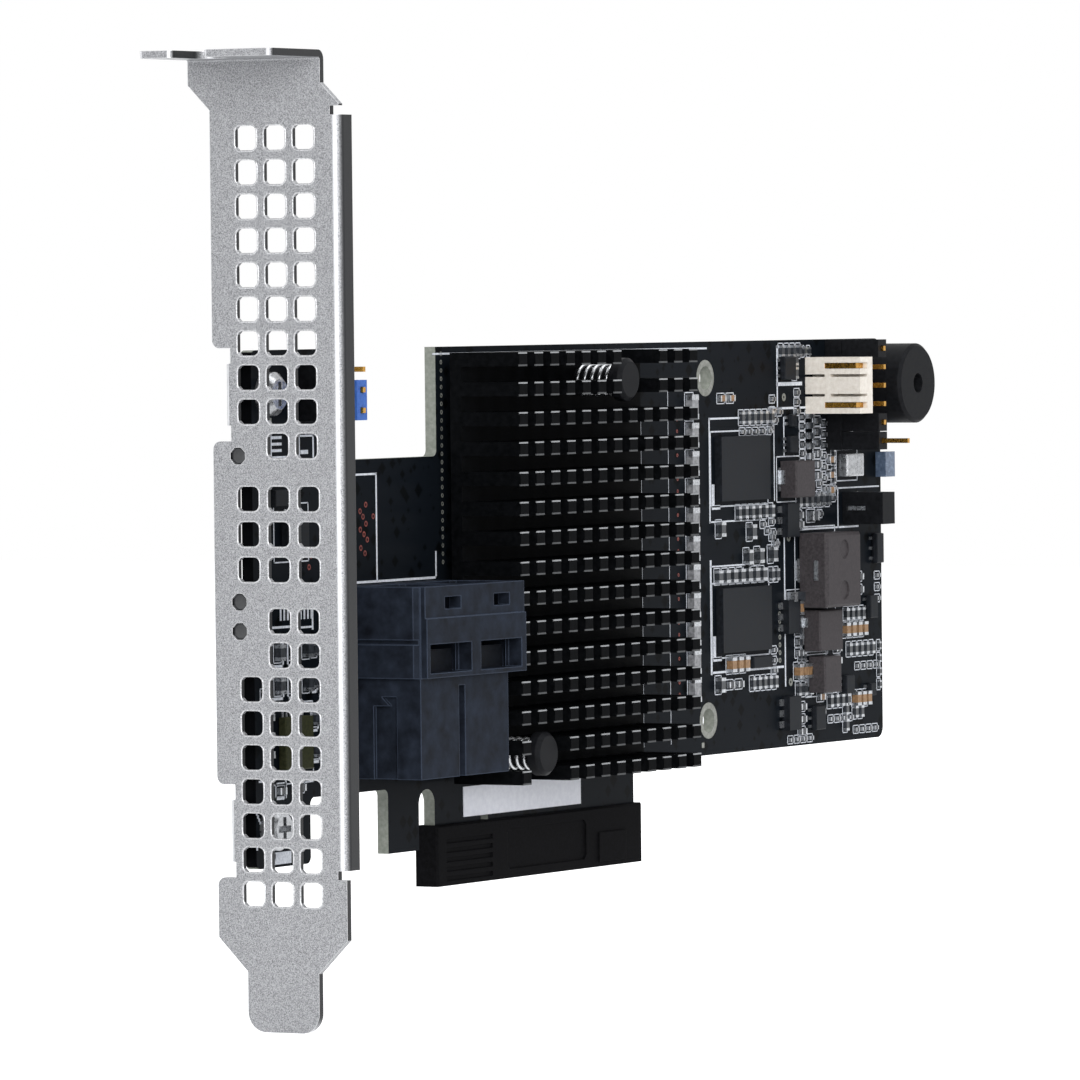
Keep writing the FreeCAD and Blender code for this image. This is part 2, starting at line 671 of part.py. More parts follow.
# ---------------------------------------------------------------------------- bracket
# Folded sheet steel: face plate with its foot, fixing tab, flange and two screw ears.
bracket = new_body("io_bracket")
plate_sketch = sketch_on(bracket, "plate_outline", "YZ_Plane", face)
ear_face = board_back + d.bracket_thick
shoulder = (d.bracket_wide - d.tongue_wide) / 2
shoulder_low = bracket_foot + d.tongue_high
tab_left = bracket_left + d.tab_flare
tab_right = bracket_right + d.tab_inset
flange_top = d.flange_low + d.flange_high
bend_radius = d.bend_inside + d.bracket_thick
bend_relief = bend_radius + d.fit
ear_relief = d.ear_inset + d.ear_bend + d.fit
plate = [
    (bracket_middle - d.tongue_wide / 2, bracket_foot, d.tongue_corner),
    (bracket_middle + d.tongue_wide / 2, bracket_foot, d.tongue_corner),
    (bracket_middle + d.tongue_wide / 2, shoulder_low),
    (bracket_left, shoulder_low + shoulder),
]
for middle in (d.low_ear, d.high_ear):
    low = middle - d.ear_high / 2
    high = middle + d.ear_high / 2
    plate += [
        (bracket_left, low - d.ear_relief_wide, d.ear_corner / 2),
        (bracket_left - ear_relief, low - d.ear_relief_wide),
        (bracket_left - ear_relief, low),
        (ear_face, low),
        (ear_face, high),
        (bracket_left - ear_relief, high),
        (bracket_left - ear_relief, high + d.ear_relief_wide),
        (bracket_left, high + d.ear_relief_wide, d.ear_corner / 2),
    ]
plate += [
    (bracket_left, bracket_top - d.flare_high - d.tab_flare),
    (tab_left, bracket_top - d.flare_high),
    (tab_left, bracket_top),
    (tab_right, bracket_top),
    (tab_right, bracket_top - d.flare_high),
    (bracket_right, bracket_top - d.flare_high - d.tab_inset),
    (bracket_right, flange_top + d.flange_relief),
    (bracket_right + bend_relief, flange_top + d.flange_relief),
    (bracket_right + bend_relief, flange_top),
    (bracket_right, flange_top),
    (bracket_right, d.flange_low),
    (bracket_right + bend_relief, d.flange_low),
    (bracket_right + bend_relief, d.flange_low - d.flange_relief),
    (bracket_right, d.flange_low - d.flange_relief),
    (bracket_right, shoulder_low + shoulder),
    (bracket_middle - d.tongue_wide / 2, shoulder_low),
]
polygon(plate_sketch, plate)
pad(bracket, plate_sketch, d.bracket_thick)
round_corners(bracket, "yz", plate)

tab_sketch = sketch_on(bracket, "tab_outline", "XY_Plane", bracket_top - d.bracket_thick)
tab_end = face - d.tab_deep
slot_left = bracket_middle + d.slot_from_middle + d.slot_wide / 2
slot_right = bracket_middle + d.slot_from_middle - d.slot_wide / 2
slot_root = tab_end + d.slot_deep
tab = [
    (tab_end, tab_right, d.tab_corner),
    (face + d.bracket_thick, tab_right),
    (face + d.bracket_thick, tab_left),
    (tab_end, tab_left, d.tab_corner),
    (tab_end, slot_left, d.tab_corner),
    (slot_root, slot_left, d.slot_wide * 0.49),
    (slot_root, slot_right, d.slot_wide * 0.49),
    (tab_end, slot_right, d.tab_corner),
]
polygon(tab_sketch, tab)
pad(bracket, tab_sketch, d.bracket_thick)
round_corners(bracket, "xy", tab)

flange_sketch = sketch_on(bracket, "flange_outline", "YZ_Plane", face)
rectangle(flange_sketch, bracket_right, d.flange_low, d.bracket_thick, d.flange_high)
pad(bracket, flange_sketch, d.flange_deep)

for name, middle in (("low_ear", d.low_ear), ("high_ear", d.high_ear)):
    ear_sketch = sketch_on(bracket, name + "_outline", "XZ_Plane", -ear_face)
    low = middle - d.ear_high / 2
    high = middle + d.ear_high / 2
    ear = [
        (face, low),
        (face + d.ear_long, low, d.ear_corner),
        (face + d.ear_long, high, d.ear_corner),
        (face, high),
    ]
    polygon(ear_sketch, ear)
    circle(ear_sketch, screw_x, middle, d.screw + d.fit * 2)
    pad(bracket, ear_sketch, d.bracket_thick)
    round_corners(bracket, "xz", ear)


doc.recompute()
inner = face + d.bracket_thick
flange_middle = d.flange_low + d.flange_high / 2
bends = [
    (bend_radius, [
        line_at(Z_AXIS, x=face, y=bracket_right, z=flange_middle),
        line_at(Y_AXIS, x=inner, z=bracket_top)]),
    (d.bend_inside, [line_at(Y_AXIS, x=face, z=bracket_top - d.bracket_thick)]),
    (d.ear_bend, [
        line_at(Z_AXIS, x=face, y=ear_face, z=d.low_ear),
        line_at(Z_AXIS, x=face, y=ear_face, z=d.high_ear)]),
]
for radius, tests in bends:
    edges = []
    for test in tests:
        edges += edges_where(bracket.Shape, test)
    dress(bracket, "Fillet", edges, radius)
    doc.recompute()


def vent_field(name, low_row, rows, columns, first_column, col_pitch, row_pitch):
    """Cut a grid of square vents, counted from its lowest row."""
    sketch = sketch_on(bracket, name, "YZ_Plane", face)
    eased_rectangle(sketch, first_column - d.vent / 2, low_row - d.vent / 2, d.vent,
                    d.vent, d.vent_corner)
    cut = pocket(bracket, sketch, forward=True)
    repeat(bracket, cut, sketch, (col_pitch, columns), (row_pitch, rows))


outer_columns = bracket_middle - d.vent_col
upper_low_row = bracket_top - d.top_vent - d.vent_row * (d.top_rows - 1)
vent_field("upper_vents", upper_low_row, d.top_rows, d.vent_cols, outer_columns,
           d.vent_col, d.vent_row)
vent_field("upper_short_row", upper_low_row - d.vent_row, as_dim(1), d.vent_cols - 1,
           outer_columns, d.vent_col, d.vent_row)
middle_low_row = upper_low_row - d.vent_row - d.mid_vent - d.mid_row * (d.mid_rows - 1)
vent_field("middle_vents", middle_low_row, d.mid_rows, d.vent_cols,
           bracket_middle - d.mid_col, d.mid_col, d.mid_row)
lower_short = middle_low_row - d.low_vent - d.vent_row * (d.low_short_rows - 1)
vent_field("lower_short_rows", lower_short, d.low_short_rows, d.vent_cols - 1,
           outer_columns, d.vent_col, d.vent_row)
vent_field("lower_vents", lower_short - d.vent_row * d.low_rows, d.low_rows,
           d.vent_cols, outer_columns, d.vent_col, d.vent_row)
pips = sketch_on(bracket, "round_holes", "YZ_Plane", face)
for z in (d.pip_high, d.pip_mid, d.pip_low):
    eased_rectangle(pips, bracket_left - d.pip_inset - d.pip / 2, z - d.pip / 2, d.pip,
                    d.pip, d.pip * 0.29)
pocket(bracket, pips, forward=True)
subparts.append(bracket)

# Pan-head screws through the board into the ears, with a cross recess in each head.
screws = []
for i, (x, z) in enumerate(bracket_screws):
    screw = new_body(f"bracket_screw_{i}")
    half = sketch_on(screw, f"screw_{i}_half", "XY_Plane", z)
    head_low = board_front - d.head_thick
    polygon(half, [
        (x, board_front + d.screw_long),
        (x, head_low),
        (x + d.screw_head / 2 - d.head_edge, head_low),
        (x + d.screw_head / 2, head_low + d.head_edge),
        (x + d.screw_head / 2, board_front),
        (x + d.screw / 2, board_front),
        (x + d.screw / 2, board_front + d.screw_long),
    ])
    turned = screw.newObject("PartDesign::Revolution", f"screw_{i}_turned")
    turned.Profile = half
    turned.ReferenceAxis = (half, ["Edge1"])
    turned.Angle = 360
    screw.Tip = turned
    cross = sketch_on(screw, f"screw_{i}_cross", "XZ_Plane", -head_low)
    arm = d.screw_head * 0.27
    thin = d.screw_head * 0.07
    polygon(cross, [
        (x - arm, z - thin), (x - thin, z - thin), (x - thin, z - arm),
        (x + thin, z - arm), (x + thin, z - thin), (x + arm, z - thin),
        (x + arm, z + thin), (x + thin, z + thin), (x + thin, z + arm),
        (x - thin, z + arm), (x - thin, z + thin), (x - arm, z + thin),
    ])
    pocket(screw, cross, d.recess)
    screws.append(screw)
subparts.append(group("bracket_screws", screws))

# ------------------------------------------------------------- controller and heatsink
sink_x = sink_left + sink_wide / 2
sink_z = sink_low + sink_high / 2
subparts.append(block("controller_substrate", sink_x, sink_z, d.chip_side, d.chip_side,
                      d.chip_base))
subparts.append(block("controller_chip", sink_x, sink_z, d.die_side, d.die_side,
                      d.die_thick, d.chip_base))
subparts.append(block("thermal_pad", sink_x, sink_z, d.die_side, d.die_side,
                      d.pad_thick, chip_tall))

# The heatsink is an extrusion of long fins, cross-cut into pins, with two corners cleared
# and drilled for the push pins.
sink = new_body("heatsink")
base_sketch = sketch_on(sink, "sink_base", "XZ_Plane", on_front(sink_lift))
rectangle(base_sketch, sink_left, sink_low, sink_wide, sink_high)
for x, z in push_pins:
    pin_hole(base_sketch, x, z)
pad(sink, base_sketch, d.sink_base)
fins_sketch = sketch_on(sink, "fin_block", "XZ_Plane",
                        on_front(sink_lift + d.sink_base))
low_clear_x = sink_left + d.fin_pitch_x * 3 - (d.fin_pitch_x - d.fin_wide)
low_clear_z = sink_low + d.fin_pitch_z * 2 - (d.fin_pitch_z - d.fin_high)
high_clear_x = sink_left + d.fin_pitch_x * 7 - (d.fin_pitch_x - d.fin_wide)
high_clear_right = sink_left + d.fin_pitch_x * 9
high_clear_z = sink_low + d.fin_pitch_z * (d.fin_rows - 2)
polygon(fins_sketch, [
    (sink_left, sink_low),
    (sink_left + d.fin_wide, sink_low),
    (sink_left + d.fin_wide, sink_low + d.fin_pitch_z * 2),
    (low_clear_x, sink_low + d.fin_pitch_z * 2),
    (low_clear_x + d.fin_pitch_x - d.fin_wide, sink_low + d.fin_pitch_z * 2),
    (low_clear_x + d.fin_pitch_x - d.fin_wide, sink_low),
    (sink_left + sink_wide, sink_low),
    (sink_left + sink_wide, sink_low + sink_high),
    (high_clear_right, sink_low + sink_high),
    (high_clear_right, high_clear_z - (d.fin_pitch_z - d.fin_high)),
    (high_clear_x, high_clear_z - (d.fin_pitch_z - d.fin_high)),
    (high_clear_x, sink_low + sink_high),
    (sink_left, sink_low + sink_high),
])
pad(sink, fins_sketch, d.fin)
tips = on_front(sink_lift + d.sink_base + d.fin)
gap_x = sketch_on(sink, "fin_gap", "XZ_Plane", tips)
rectangle(gap_x, sink_left + d.fin_wide, sink_low - d.sink_gap,
          d.fin_pitch_x - d.fin_wide, sink_high + d.sink_gap * 2)
repeat(sink, pocket(sink, gap_x, d.fin), gap_x, across=(d.fin_pitch_x, d.fin_cols - 1))
gap_z = sketch_on(sink, "cross_cut", "XZ_Plane", tips)
rectangle(gap_z, sink_left - d.sink_gap, sink_low + d.fin_high,
          sink_wide + d.sink_gap * 2, d.fin_pitch_z - d.fin_high)
repeat(sink, pocket(sink, gap_z, d.fin), gap_z, up=(d.fin_pitch_z, d.fin_rows - 1))
subparts.append(sink)

# Push pins through heatsink and board, each held out by a spring under its cap.
cap_low = d.pin_reach - d.pin_cap_thick
sink_top = sink_lift + d.sink_base
pin_solids = []
spring_solids = []
for i, (x, z) in enumerate(push_pins):
    push_pin = new_body(f"push_pin_{i}")
    half = sketch_on(push_pin, f"push_pin_{i}_half", "XY_Plane", z)
    tail = board_back + d.pin_barb_long
    polygon(half, [
        (x, board_front - d.pin_reach),
        (x + d.pin_cap / 2 - d.pin_cap_edge, board_front - d.pin_reach),
        (x + d.pin_cap / 2, board_front - d.pin_reach + d.pin_cap_edge),
        (x + d.pin_cap / 2, board_front - cap_low),
        (x + d.pin_shank / 2, board_front - cap_low),
        (x + d.pin_shank / 2, board_back + d.fit),
        (x + d.pin_barb / 2, board_back + d.fit),
        (x + d.pin_shank / 4, tail),
        (x, tail),
    ])
    turned = push_pin.newObject("PartDesign::Revolution", f"push_pin_{i}_turned")
    turned.Profile = half
    turned.ReferenceAxis = (half, ["Edge9"])
    turned.Angle = 360
    push_pin.Tip = turned
    pin_solids.append(push_pin)

    coil_radius = (d.spring_wide - d.spring_wire) / 2
    rise = cap_low - sink_top - d.spring_wire - d.fit
    lengths = int(d.spring_turns.value * d.spring_sides.value)
    turn = 2 * math.pi / d.spring_sides.value
    path = doc.addObject("Part::Polygon", f"spring_{i}_path")
    path.Nodes = [Vector(coil_radius.value * math.cos(turn * k),
                         -rise.value * k / lengths,
                         coil_radius.value * math.sin(turn * k))
                  for k in range(lengths + 1)]
    path.Close = False
    wire = doc.addObject("Part::Plane", f"spring_{i}_section")
    bind(wire, "Length", d.spring_wire)
    bind(wire, "Width", d.spring_wire)
    foot = board_front - sink_top - d.spring_wire / 2
    for item, place_x, place_y in (
            (path, x, foot),
            (wire, x + coil_radius - d.spring_wire / 2, foot - d.spring_wire / 2)):
        bind(item, "Placement.Base.x", place_x)
        bind(item, "Placement.Base.y", place_y)
        bind(item, "Placement.Base.z", z)
    doc.recompute()
    spring = doc.addObject("Part::Sweep", f"push_pin_spring_{i}")
    spring.Sections = [wire]
    spring.Spine = (path, [f"Edge{k + 1}" for k in range(lengths)])
    spring.Transition = "Right corner"
    spring.Solid = True
    spring_solids.append(spring)
subparts.append(group("push_pins", pin_solids))
subparts.append(group("push_pin_springs", spring_solids))

# ------------------------------------------------------------- twin cable receptacle
# One moulding: two contact blocks below, a collar with two bays that open upwards, and a
# proud plate on the front with latch openings.
port = new_body("sas_receptacle")
collar_low = d.port_low + d.port_high - d.collar_high
mouth = d.port_low + d.port_high
body_left = d.port_x + d.body_inset
lower_sketch = sketch_on(port, "contact_blocks", "XZ_Plane", on_front())
gap_left = body_left + d.slot_from_side
polygon(lower_sketch, [
    (body_left, d.port_low),
    (gap_left, d.port_low),
    (gap_left, collar_low - d.block_slot_short),
    (gap_left + d.port_body_slot, collar_low - d.block_slot_short),
    (gap_left + d.port_body_slot, d.port_low),
    (body_left + d.port_body_wide, d.port_low),
    (body_left + d.port_body_wide, collar_low),
    (body_left, collar_low),
])
pad(port, lower_sketch, d.port_tall)
collar_sketch = sketch_on(port, "collar_outline", "XY_Plane", collar_low)
collar_front = board_front - d.port_tall
polygon(collar_sketch, [
    (d.port_x, board_front),
    (d.port_x, collar_front + d.port_chamfer),
    (d.port_x + d.port_chamfer, collar_front),
    (d.port_x + d.port_wide - d.port_chamfer, collar_front),
    (d.port_x + d.port_wide, collar_front + d.port_chamfer),
    (d.port_x + d.port_wide, board_front),
])
pad(port, collar_sketch, d.collar_high)
plate_left = d.port_x + d.plate_inset
plate_wide = d.port_wide - d.plate_inset
front_plate = sketch_on(port, "front_plate", "XZ_Plane", on_front(d.port_tall))
rectangle(front_plate, plate_left, collar_low, plate_wide, d.collar_high - d.band_high)
pad(port, front_plate, d.collar_proud)
front_band = sketch_on(port, "front_band", "XZ_Plane", on_front(d.port_tall))
rectangle(front_band, plate_left, mouth - d.band_high, plate_wide, d.band_high)
pad(port, front_band, d.collar_proud - d.band_drop)
bay_low = collar_low + d.latch_up
bay_front = board_front - d.bay_lift - d.bay_tall
for i in range(2):
    middle = d.port_x + d.first_bay + d.bay_pitch * i
    bay = sketch_on(port, f"bay_{i}", "XY_Plane", mouth)
    eased_rectangle(bay, middle - d.bay_wide / 2, bay_front, d.bay_wide, d.bay_tall,
                    d.port_chamfer)
    pocket(port, bay, mouth - bay_low)
wall = d.port_tall + d.collar_proud - d.bay_lift - d.bay_tall
openings = sketch_on(port, "latch_openings", "XZ_Plane",
                     on_front(d.port_tall + d.collar_proud))
for i in range(2):
    middle = d.port_x + d.first_bay + d.bay_pitch * i
    rectangle(openings, middle - d.latch_wide / 2, bay_low, d.latch_wide, d.latch_high)
    window = (d.port_x + d.first_bay + d.window_off
              + (d.bay_pitch - d.window_pitch) / 2 + d.window_pitch * i)
    rectangle(openings, window - d.window_wide / 2,
              mouth - d.window_down - d.window_high / 2, d.window_wide, d.window_high)
pocket(port, openings, wall)
rail = sketch_on(port, "side_groove", "XZ_Plane", on_front(d.port_tall))
rectangle(rail, d.port_x - d.port_chamfer, collar_low + d.groove_up,
          d.port_chamfer + d.groove_deep, d.groove_high)
pocket(port, rail, d.port_tall - d.bay_lift)
step = sketch_on(port, "side_step", "YZ_Plane", body_left)
polygon(step, [
    (board_front - d.step_in, d.port_low),
    (board_front - d.step_out, d.port_low),
    (board_front - d.step_out, collar_low - d.step_short * 2),
    (board_front - d.step_in - d.step_short, collar_low - d.step_short * 2),
    (board_front - d.step_in - d.step_short * 2, collar_low - d.step_short * 3),
    (board_front - d.step_in, collar_low - d.step_short * 3),
])
pocket(port, step, d.step_deep, forward=True)
subparts.append(port)

inserts = []
for i in range(2):
    middle = d.port_x + d.first_bay + d.bay_pitch * i
    inserts.append(front_box(f"port_insert_{i}", middle, bay_low + d.insert_long / 2,
                             d.bay_wide - d.insert_side * 2, d.insert_long, d.insert_tall,
                             d.bay_lift + (d.bay_tall - d.insert_tall) / 2))
    inserts.append(front_box(f"latch_leaf_{i}", middle,
                             bay_low + (d.latch_high - d.leaf_short) / 2,
                             d.bay_wide - d.port_chamfer * 2, d.latch_high - d.leaf_short,
                             d.leaf_thick,
                             d.bay_lift + d.bay_tall - d.leaf_in - d.leaf_thick))
subparts.append(group("port_inserts", inserts))

# ------------------------------------------------------------------------- edge cover
# A loose moulded cover pushed over the gold contacts, with a rib in the key notch.
cover = new_body("edge_cover")
cover_left = contacts_left - d.cover_end
cover_wide = contacts_right + d.cover_end - cover_left
cover_half = board_back + d.contact_thick + d.cover_fit + d.cover_wall
cover_foot = -d.cover_floor - d.cover_fit
cover_top = cover_foot + d.cover_high
shell = sketch_on(cover, "cover_outline", "XY_Plane", cover_foot)
rectangle(shell, cover_left, -cover_half, cover_wide, cover_half * 2)
pad(cover, shell, d.cover_high)
slit = sketch_on(cover, "board_slit", "XY_Plane", cover_top)
slit_half = board_back + d.contact_thick + d.cover_fit
key_half = d.key_wide / 2 - d.cover_fit
polygon(slit, [
    (contacts_left - d.cover_fit, -slit_half),
    (-key_half, -slit_half),
    (-key_half, slit_half),
    (contacts_left - d.cover_fit, slit_half),
])
pocket(cover, slit, d.cover_high - d.cover_floor)
slit_far = sketch_on(cover, "board_slit_far", "XY_Plane", cover_top)
polygon(slit_far, [
    (key_half, -slit_half),
    (contacts_right + d.cover_fit, -slit_half),
    (contacts_right + d.cover_fit, slit_half),
    (key_half, slit_half),
])
pocket(cover, slit_far, d.cover_high - d.cover_floor)
grip = sketch_on(cover, "grip_groove", "XZ_Plane", cover_half)
rectangle(grip, cover_left + d.grip_from_end, cover_foot + d.grip_pitch / 2, d.grip_long,
          d.grip_wide)
repeat(cover, pocket(cover, grip, d.grip_deep), grip, up=(d.grip_pitch, d.grip_count))
panel = sketch_on(cover, "bare_panel", "XZ_Plane", cover_half)
eased_rectangle(panel, cover_left + d.panel_from_end, cover_foot + d.panel_up,
                d.panel_long, d.panel_high, d.panel_up / 2)
pocket(cover, panel, d.grip_deep)
doc.recompute()
bevels = edges_where(cover.Shape, line_at(X_AXIS, z=cover_top, y=-cover_half))
bevels += edges_where(cover.Shape, line_at(X_AXIS, z=cover_top, y=cover_half))
bevels += edges_where(cover.Shape, line_at(Z_AXIS, x=cover_left, y=-cover_half))
bevels += edges_where(cover.Shape, line_at(Z_AXIS, x=cover_left + cover_wide,
                                           y=-cover_half))
dress(cover, "Chamfer", bevels, d.grip_deep)
pip = sketch_on(cover, "thumb_pad", "XZ_Plane", cover_half)
rectangle(pip, cover_left + cover_wide - d.thumb_from_end - d.thumb_long,
          cover_foot + d.thumb_up, d.thumb_long, d.thumb_high)
pad(cover, pip, d.grip_deep)
subparts.append(cover)

# -------------------------------------------------------------------- memory and coils
memory_x = board_right - d.memory_from_end
for name, z in (("memory_upper", d.memory_top), ("memory_lower", d.memory_top - d.memory_step)):
    subparts.append(block(name, memory_x, z, d.memory_long, d.memory_high, d.memory_thick))

choke = block("choke_large", board_right - d.coil_from_end, d.coil_z, d.coil_side,
              d.coil_side, d.coil_tall - d.choke_lift, d.choke_lift, d.choke_edge)
dimples = sketch_on(choke, "choke_dimples", "XZ_Plane", on_front(d.coil_tall))
for way in (-1, 1):
    circle(dimples, board_right - d.coil_from_end, d.coil_z + d.dimple_apart * way / 2,
           d.dimple)
pocket(choke, dimples, d.choke_edge / 2)
subparts.append(choke)
ends = []
for way in (-1, 1):
    ends.append(front_box(
        f"choke_end_{way + 1}",
        board_right - d.coil_from_end + (d.coil_side / 2 - d.choke_end) * way,
        d.coil_z, d.choke_end * 2, d.choke_end_wide, d.choke_lift))
for name, from_end, z, wide, high in (
        ("choke_upper", d.choke_a_from_end, d.choke_a_z, d.choke_side, d.choke_high),
        ("choke_middle", d.choke_b_from_end, d.choke_b_z, d.choke_long, d.choke_side),
        ("choke_lower", d.choke_c_from_end, d.choke_c_z, d.choke_high, d.choke_high)):
    x = board_right - from_end
    subparts.append(block(name, x, z, wide, high, d.choke_tall - d.choke_lift,
                          d.choke_lift, d.choke_edge / 2))
    for way in (-1, 1):
        ends.append(front_box(f"{name}_end_{way + 1}",
                              x + (wide / 2 - d.choke_end) * way, z, d.choke_end * 2,
                              d.choke_end_wide, d.choke_lift))
subparts.append(group("choke_terminals", ends))

# ----------------------------------------------------------------------------- buzzer
buzzer_x = board_right - d.buzzer_from_end
buzzer = new_body("buzzer")
half = sketch_on(buzzer, "buzzer_half", "XY_Plane", d.buzzer_z)
buzzer_front = board_front - d.buzzer_tall
polygon(half, [
    (buzzer_x, board_front),
    (buzzer_x, buzzer_front + d.buzzer_tall / 4),
    (buzzer_x + d.buzzer_hole / 2, buzzer_front + d.buzzer_tall / 4),
    (buzzer_x + d.buzzer_hole / 2, buzzer_front),
    (buzzer_x + d.buzzer / 2 - d.buzzer_edge, buzzer_front),
    (buzzer_x + d.buzzer / 2, buzzer_front + d.buzzer_edge),
    (buzzer_x + d.buzzer / 2, board_front),
])
turned = buzzer.newObject("PartDesign::Revolution", "buzzer_turned")
turned.Profile = half
turned.ReferenceAxis = (half, ["Edge1"])
turned.Angle = 360
buzzer.Tip = turned
subparts.append(buzzer)

# ------------------------------------------------------------------------ pin headers


def header(name, x, top, count, extra=ZERO):
    """A single-row header up the card: its plastic strip and its square pins."""
    strip = new_body(name + "_base")
    sketch = sketch_on(strip, name + "_strip", "XZ_Plane", on_front())
    low = top - d.pin_pitch * (count - 1)
    rectangle(sketch, x - d.pin_pitch / 2, low - d.pin_pitch / 2, d.pin_pitch,
              d.pin_pitch * count)
    pad(strip, sketch, d.header_base)
    hole = sketch_on(strip, name + "_pin_hole", "XZ_Plane", on_front(d.header_base))
    rectangle(hole, x - d.pin_side / 2, low - d.pin_side / 2, d.pin_side, d.pin_side)
    repeat(strip, pocket(strip, hole), hole, up=(d.pin_pitch, as_dim(count)))
    pins = []
    for i in range(count):
        length = d.header_pin + (extra if i == 0 else ZERO)
        pins.append(front_box(f"{name}_pin_{i}", x, low + d.pin_pitch * i, d.pin_side,
                              d.pin_side, length))
    subparts.append(strip)
    subparts.append(group(name + "_pins", pins))
    return low


def cap(name, x, z, wide, high, tall, pins):
    """A jumper cap over one or more pins of a row, open at both ends."""
    body = new_body(name)
    sketch = sketch_on(body, name + "_outline", "XZ_Plane",
                       on_front(d.header_base + d.fit))
    rectangle(sketch, x - wide / 2, z - high / 2, wide, high)
    for pin in pins:
        rectangle(sketch, x - d.pin_side / 2 - d.fit, pin - d.pin_side / 2 - d.fit,
                  d.pin_side + d.fit * 2, d.pin_side + d.fit * 2)
    pad(body, sketch, tall)
    return body


far_x = board_right - d.header_from_end
far_low = header("far_header", far_x, d.header_top, 6, d.long_pin)
far_caps = []
for name, index in (("far_cap_low", 0), ("far_cap_next", 1), ("far_cap_top", 5)):
    z = far_low + d.pin_pitch * index
    far_caps.append(cap(name, far_x, z, d.cap_wide, d.cap_wide, d.cap_tall, [z]))
subparts.append(group("far_header_caps", far_caps))

near_x = d.near_header_x
near_low = header("near_header", near_x, d.near_header_top, 3)
subparts.append(cap("near_jumper_cap", near_x, near_low + d.pin_pitch / 2, d.cap_wide,
                    d.cap_wide + d.pin_pitch, d.cap_tall,
                    [near_low, near_low + d.pin_pitch]))

# A pale three-way connector: three towers joined by one web, with gold contacts in two.
tower_x = board_right - d.tower_from_end
tower = new_body("tower_connector")
tower_sketch = sketch_on(tower, "tower_outline", "XZ_Plane", on_front())
tower_high = d.tower_pitch * 3 - d.tower_gap
rectangle(tower_sketch, tower_x - d.tower_wide / 2, d.tower_z - tower_high / 2,
          d.tower_wide, tower_high)
pad(tower, tower_sketch, d.tower_tall)
for part_name, lift, depth in (("base", ZERO, d.tower_web_up),
                               ("top", d.tower_web_up + d.tower_web,
                                d.tower_tall - d.tower_web_up - d.tower_web)):
    gap = sketch_on(tower, f"tower_gap_{part_name}", "XZ_Plane",
                    on_front(lift + depth))
    rectangle(gap, tower_x - d.tower_wide / 2,
              d.tower_z - d.tower_pitch / 2 - d.tower_gap / 2, d.tower_cut, d.tower_gap)
    repeat(tower, pocket(tower, gap, depth), gap, up=(d.tower_pitch, as_dim(2)))
slots = sketch_on(tower, "tower_contact_slots", "XZ_Plane", on_front(d.tower_tall))
for way in (-1, 1):
    rectangle(slots, tower_x - d.tower_wide / 2,
              d.tower_z + d.tower_pitch * way - d.tower_contact / 2,
              d.tower_cut, d.tower_contact)
pocket(tower, slots, d.tower_tall - d.tower_web_up)
subparts.append(tower)
tower_contacts = []
for way in (-1, 1):
    tower_contacts.append(front_box(
        f"tower_contact_{way + 1}", tower_x - d.tower_wide / 2 + d.tower_cut / 2 + d.fit,
        d.tower_z + d.tower_pitch * way, d.tower_cut - d.fit * 2,
        d.tower_contact - d.fit * 2,
        d.tower_tall - d.tower_web_up - d.tower_gap * 2, d.tower_web_up))
subparts.append(group("tower_contacts", tower_contacts))

# A black two-way plug with its contact in a slot of the near side.
plug_x = board_right - d.plug_from_end
plug = block("small_plug", plug_x, d.plug_z, d.plug_long, d.plug_high, d.plug_tall)
plug_slot = sketch_on(plug, "plug_slot", "XZ_Plane", on_front(d.plug_slot_top))
rectangle(plug_slot, plug_x - d.plug_long / 2, d.plug_z - d.plug_slot / 2, d.plug_cut,
          d.plug_slot)
pocket(plug, plug_slot, d.plug_slot_top - d.plug_slot)
subparts.append(plug)
subparts.append(group("small_plug_contact", [front_box(
    "plug_contact_leaf", plug_x - d.plug_long / 2 + d.plug_cut * 0.75, d.plug_z,
    d.plug_cut / 2, d.plug_slot - d.fit * 2, d.plug_slot_top - d.plug_slot - d.fit,
    d.plug_slot)]))

# ------------------------------------------------------------------------ small parts
subparts.append(block("crystal_can", board_right - d.can_from_end, d.can_z, d.can_long,
                      d.can_high, d.can_tall, edge=d.choke_edge / 2))
subparts.append(block("status_lamp", board_right - d.lamp_from_end, d.lamp_z,
                      d.lamp_long, d.lamp_high, d.lamp_tall))


def leaded_chip(name, x, z, long, high, leads):
    """A moulded chip with flat leads out of its upper and lower sides."""
    body = block(name, x, z, long, high, d.small_chip - d.lead_thick, d.lead_thick,
                 d.lead_thick)
    feet = []
    pitch = long / (leads + 1)
    for row, way in (("low", -1), ("high", 1)):
        for i in range(leads):
            feet.append(front_box(
                f"{name}_{row}_{i}", x - long / 2 + pitch * (i + 1),
                z + (high / 2 + d.lead_out / 2 - d.lead_in / 2) * way, d.lead_wide,
                d.lead_out + d.lead_in, d.lead_thick))
    return body, feet


leads = []
for name, x, z, long, high, count in (
        ("flash_chip", d.flash_x, d.flash_z, d.flash_side, d.flash_side, 6),
        ("line_driver", d.driver_x, d.driver_z, d.driver_long, d.driver_high, 4)):
    body, feet = leaded_chip(name, x, z, long, high, count)
    subparts.append(body)
    leads += feet
subparts.append(group("chip_leads", leads))

switches = []
for i in range(3):
    switches.append(front_box(
        f"power_switch_{i}", board_right - d.switcher_from_end,
        d.switcher_z + d.switcher_step * i, d.switcher_long, d.switcher_side,
        d.small_chip))
subparts.append(group("power_switches", switches))

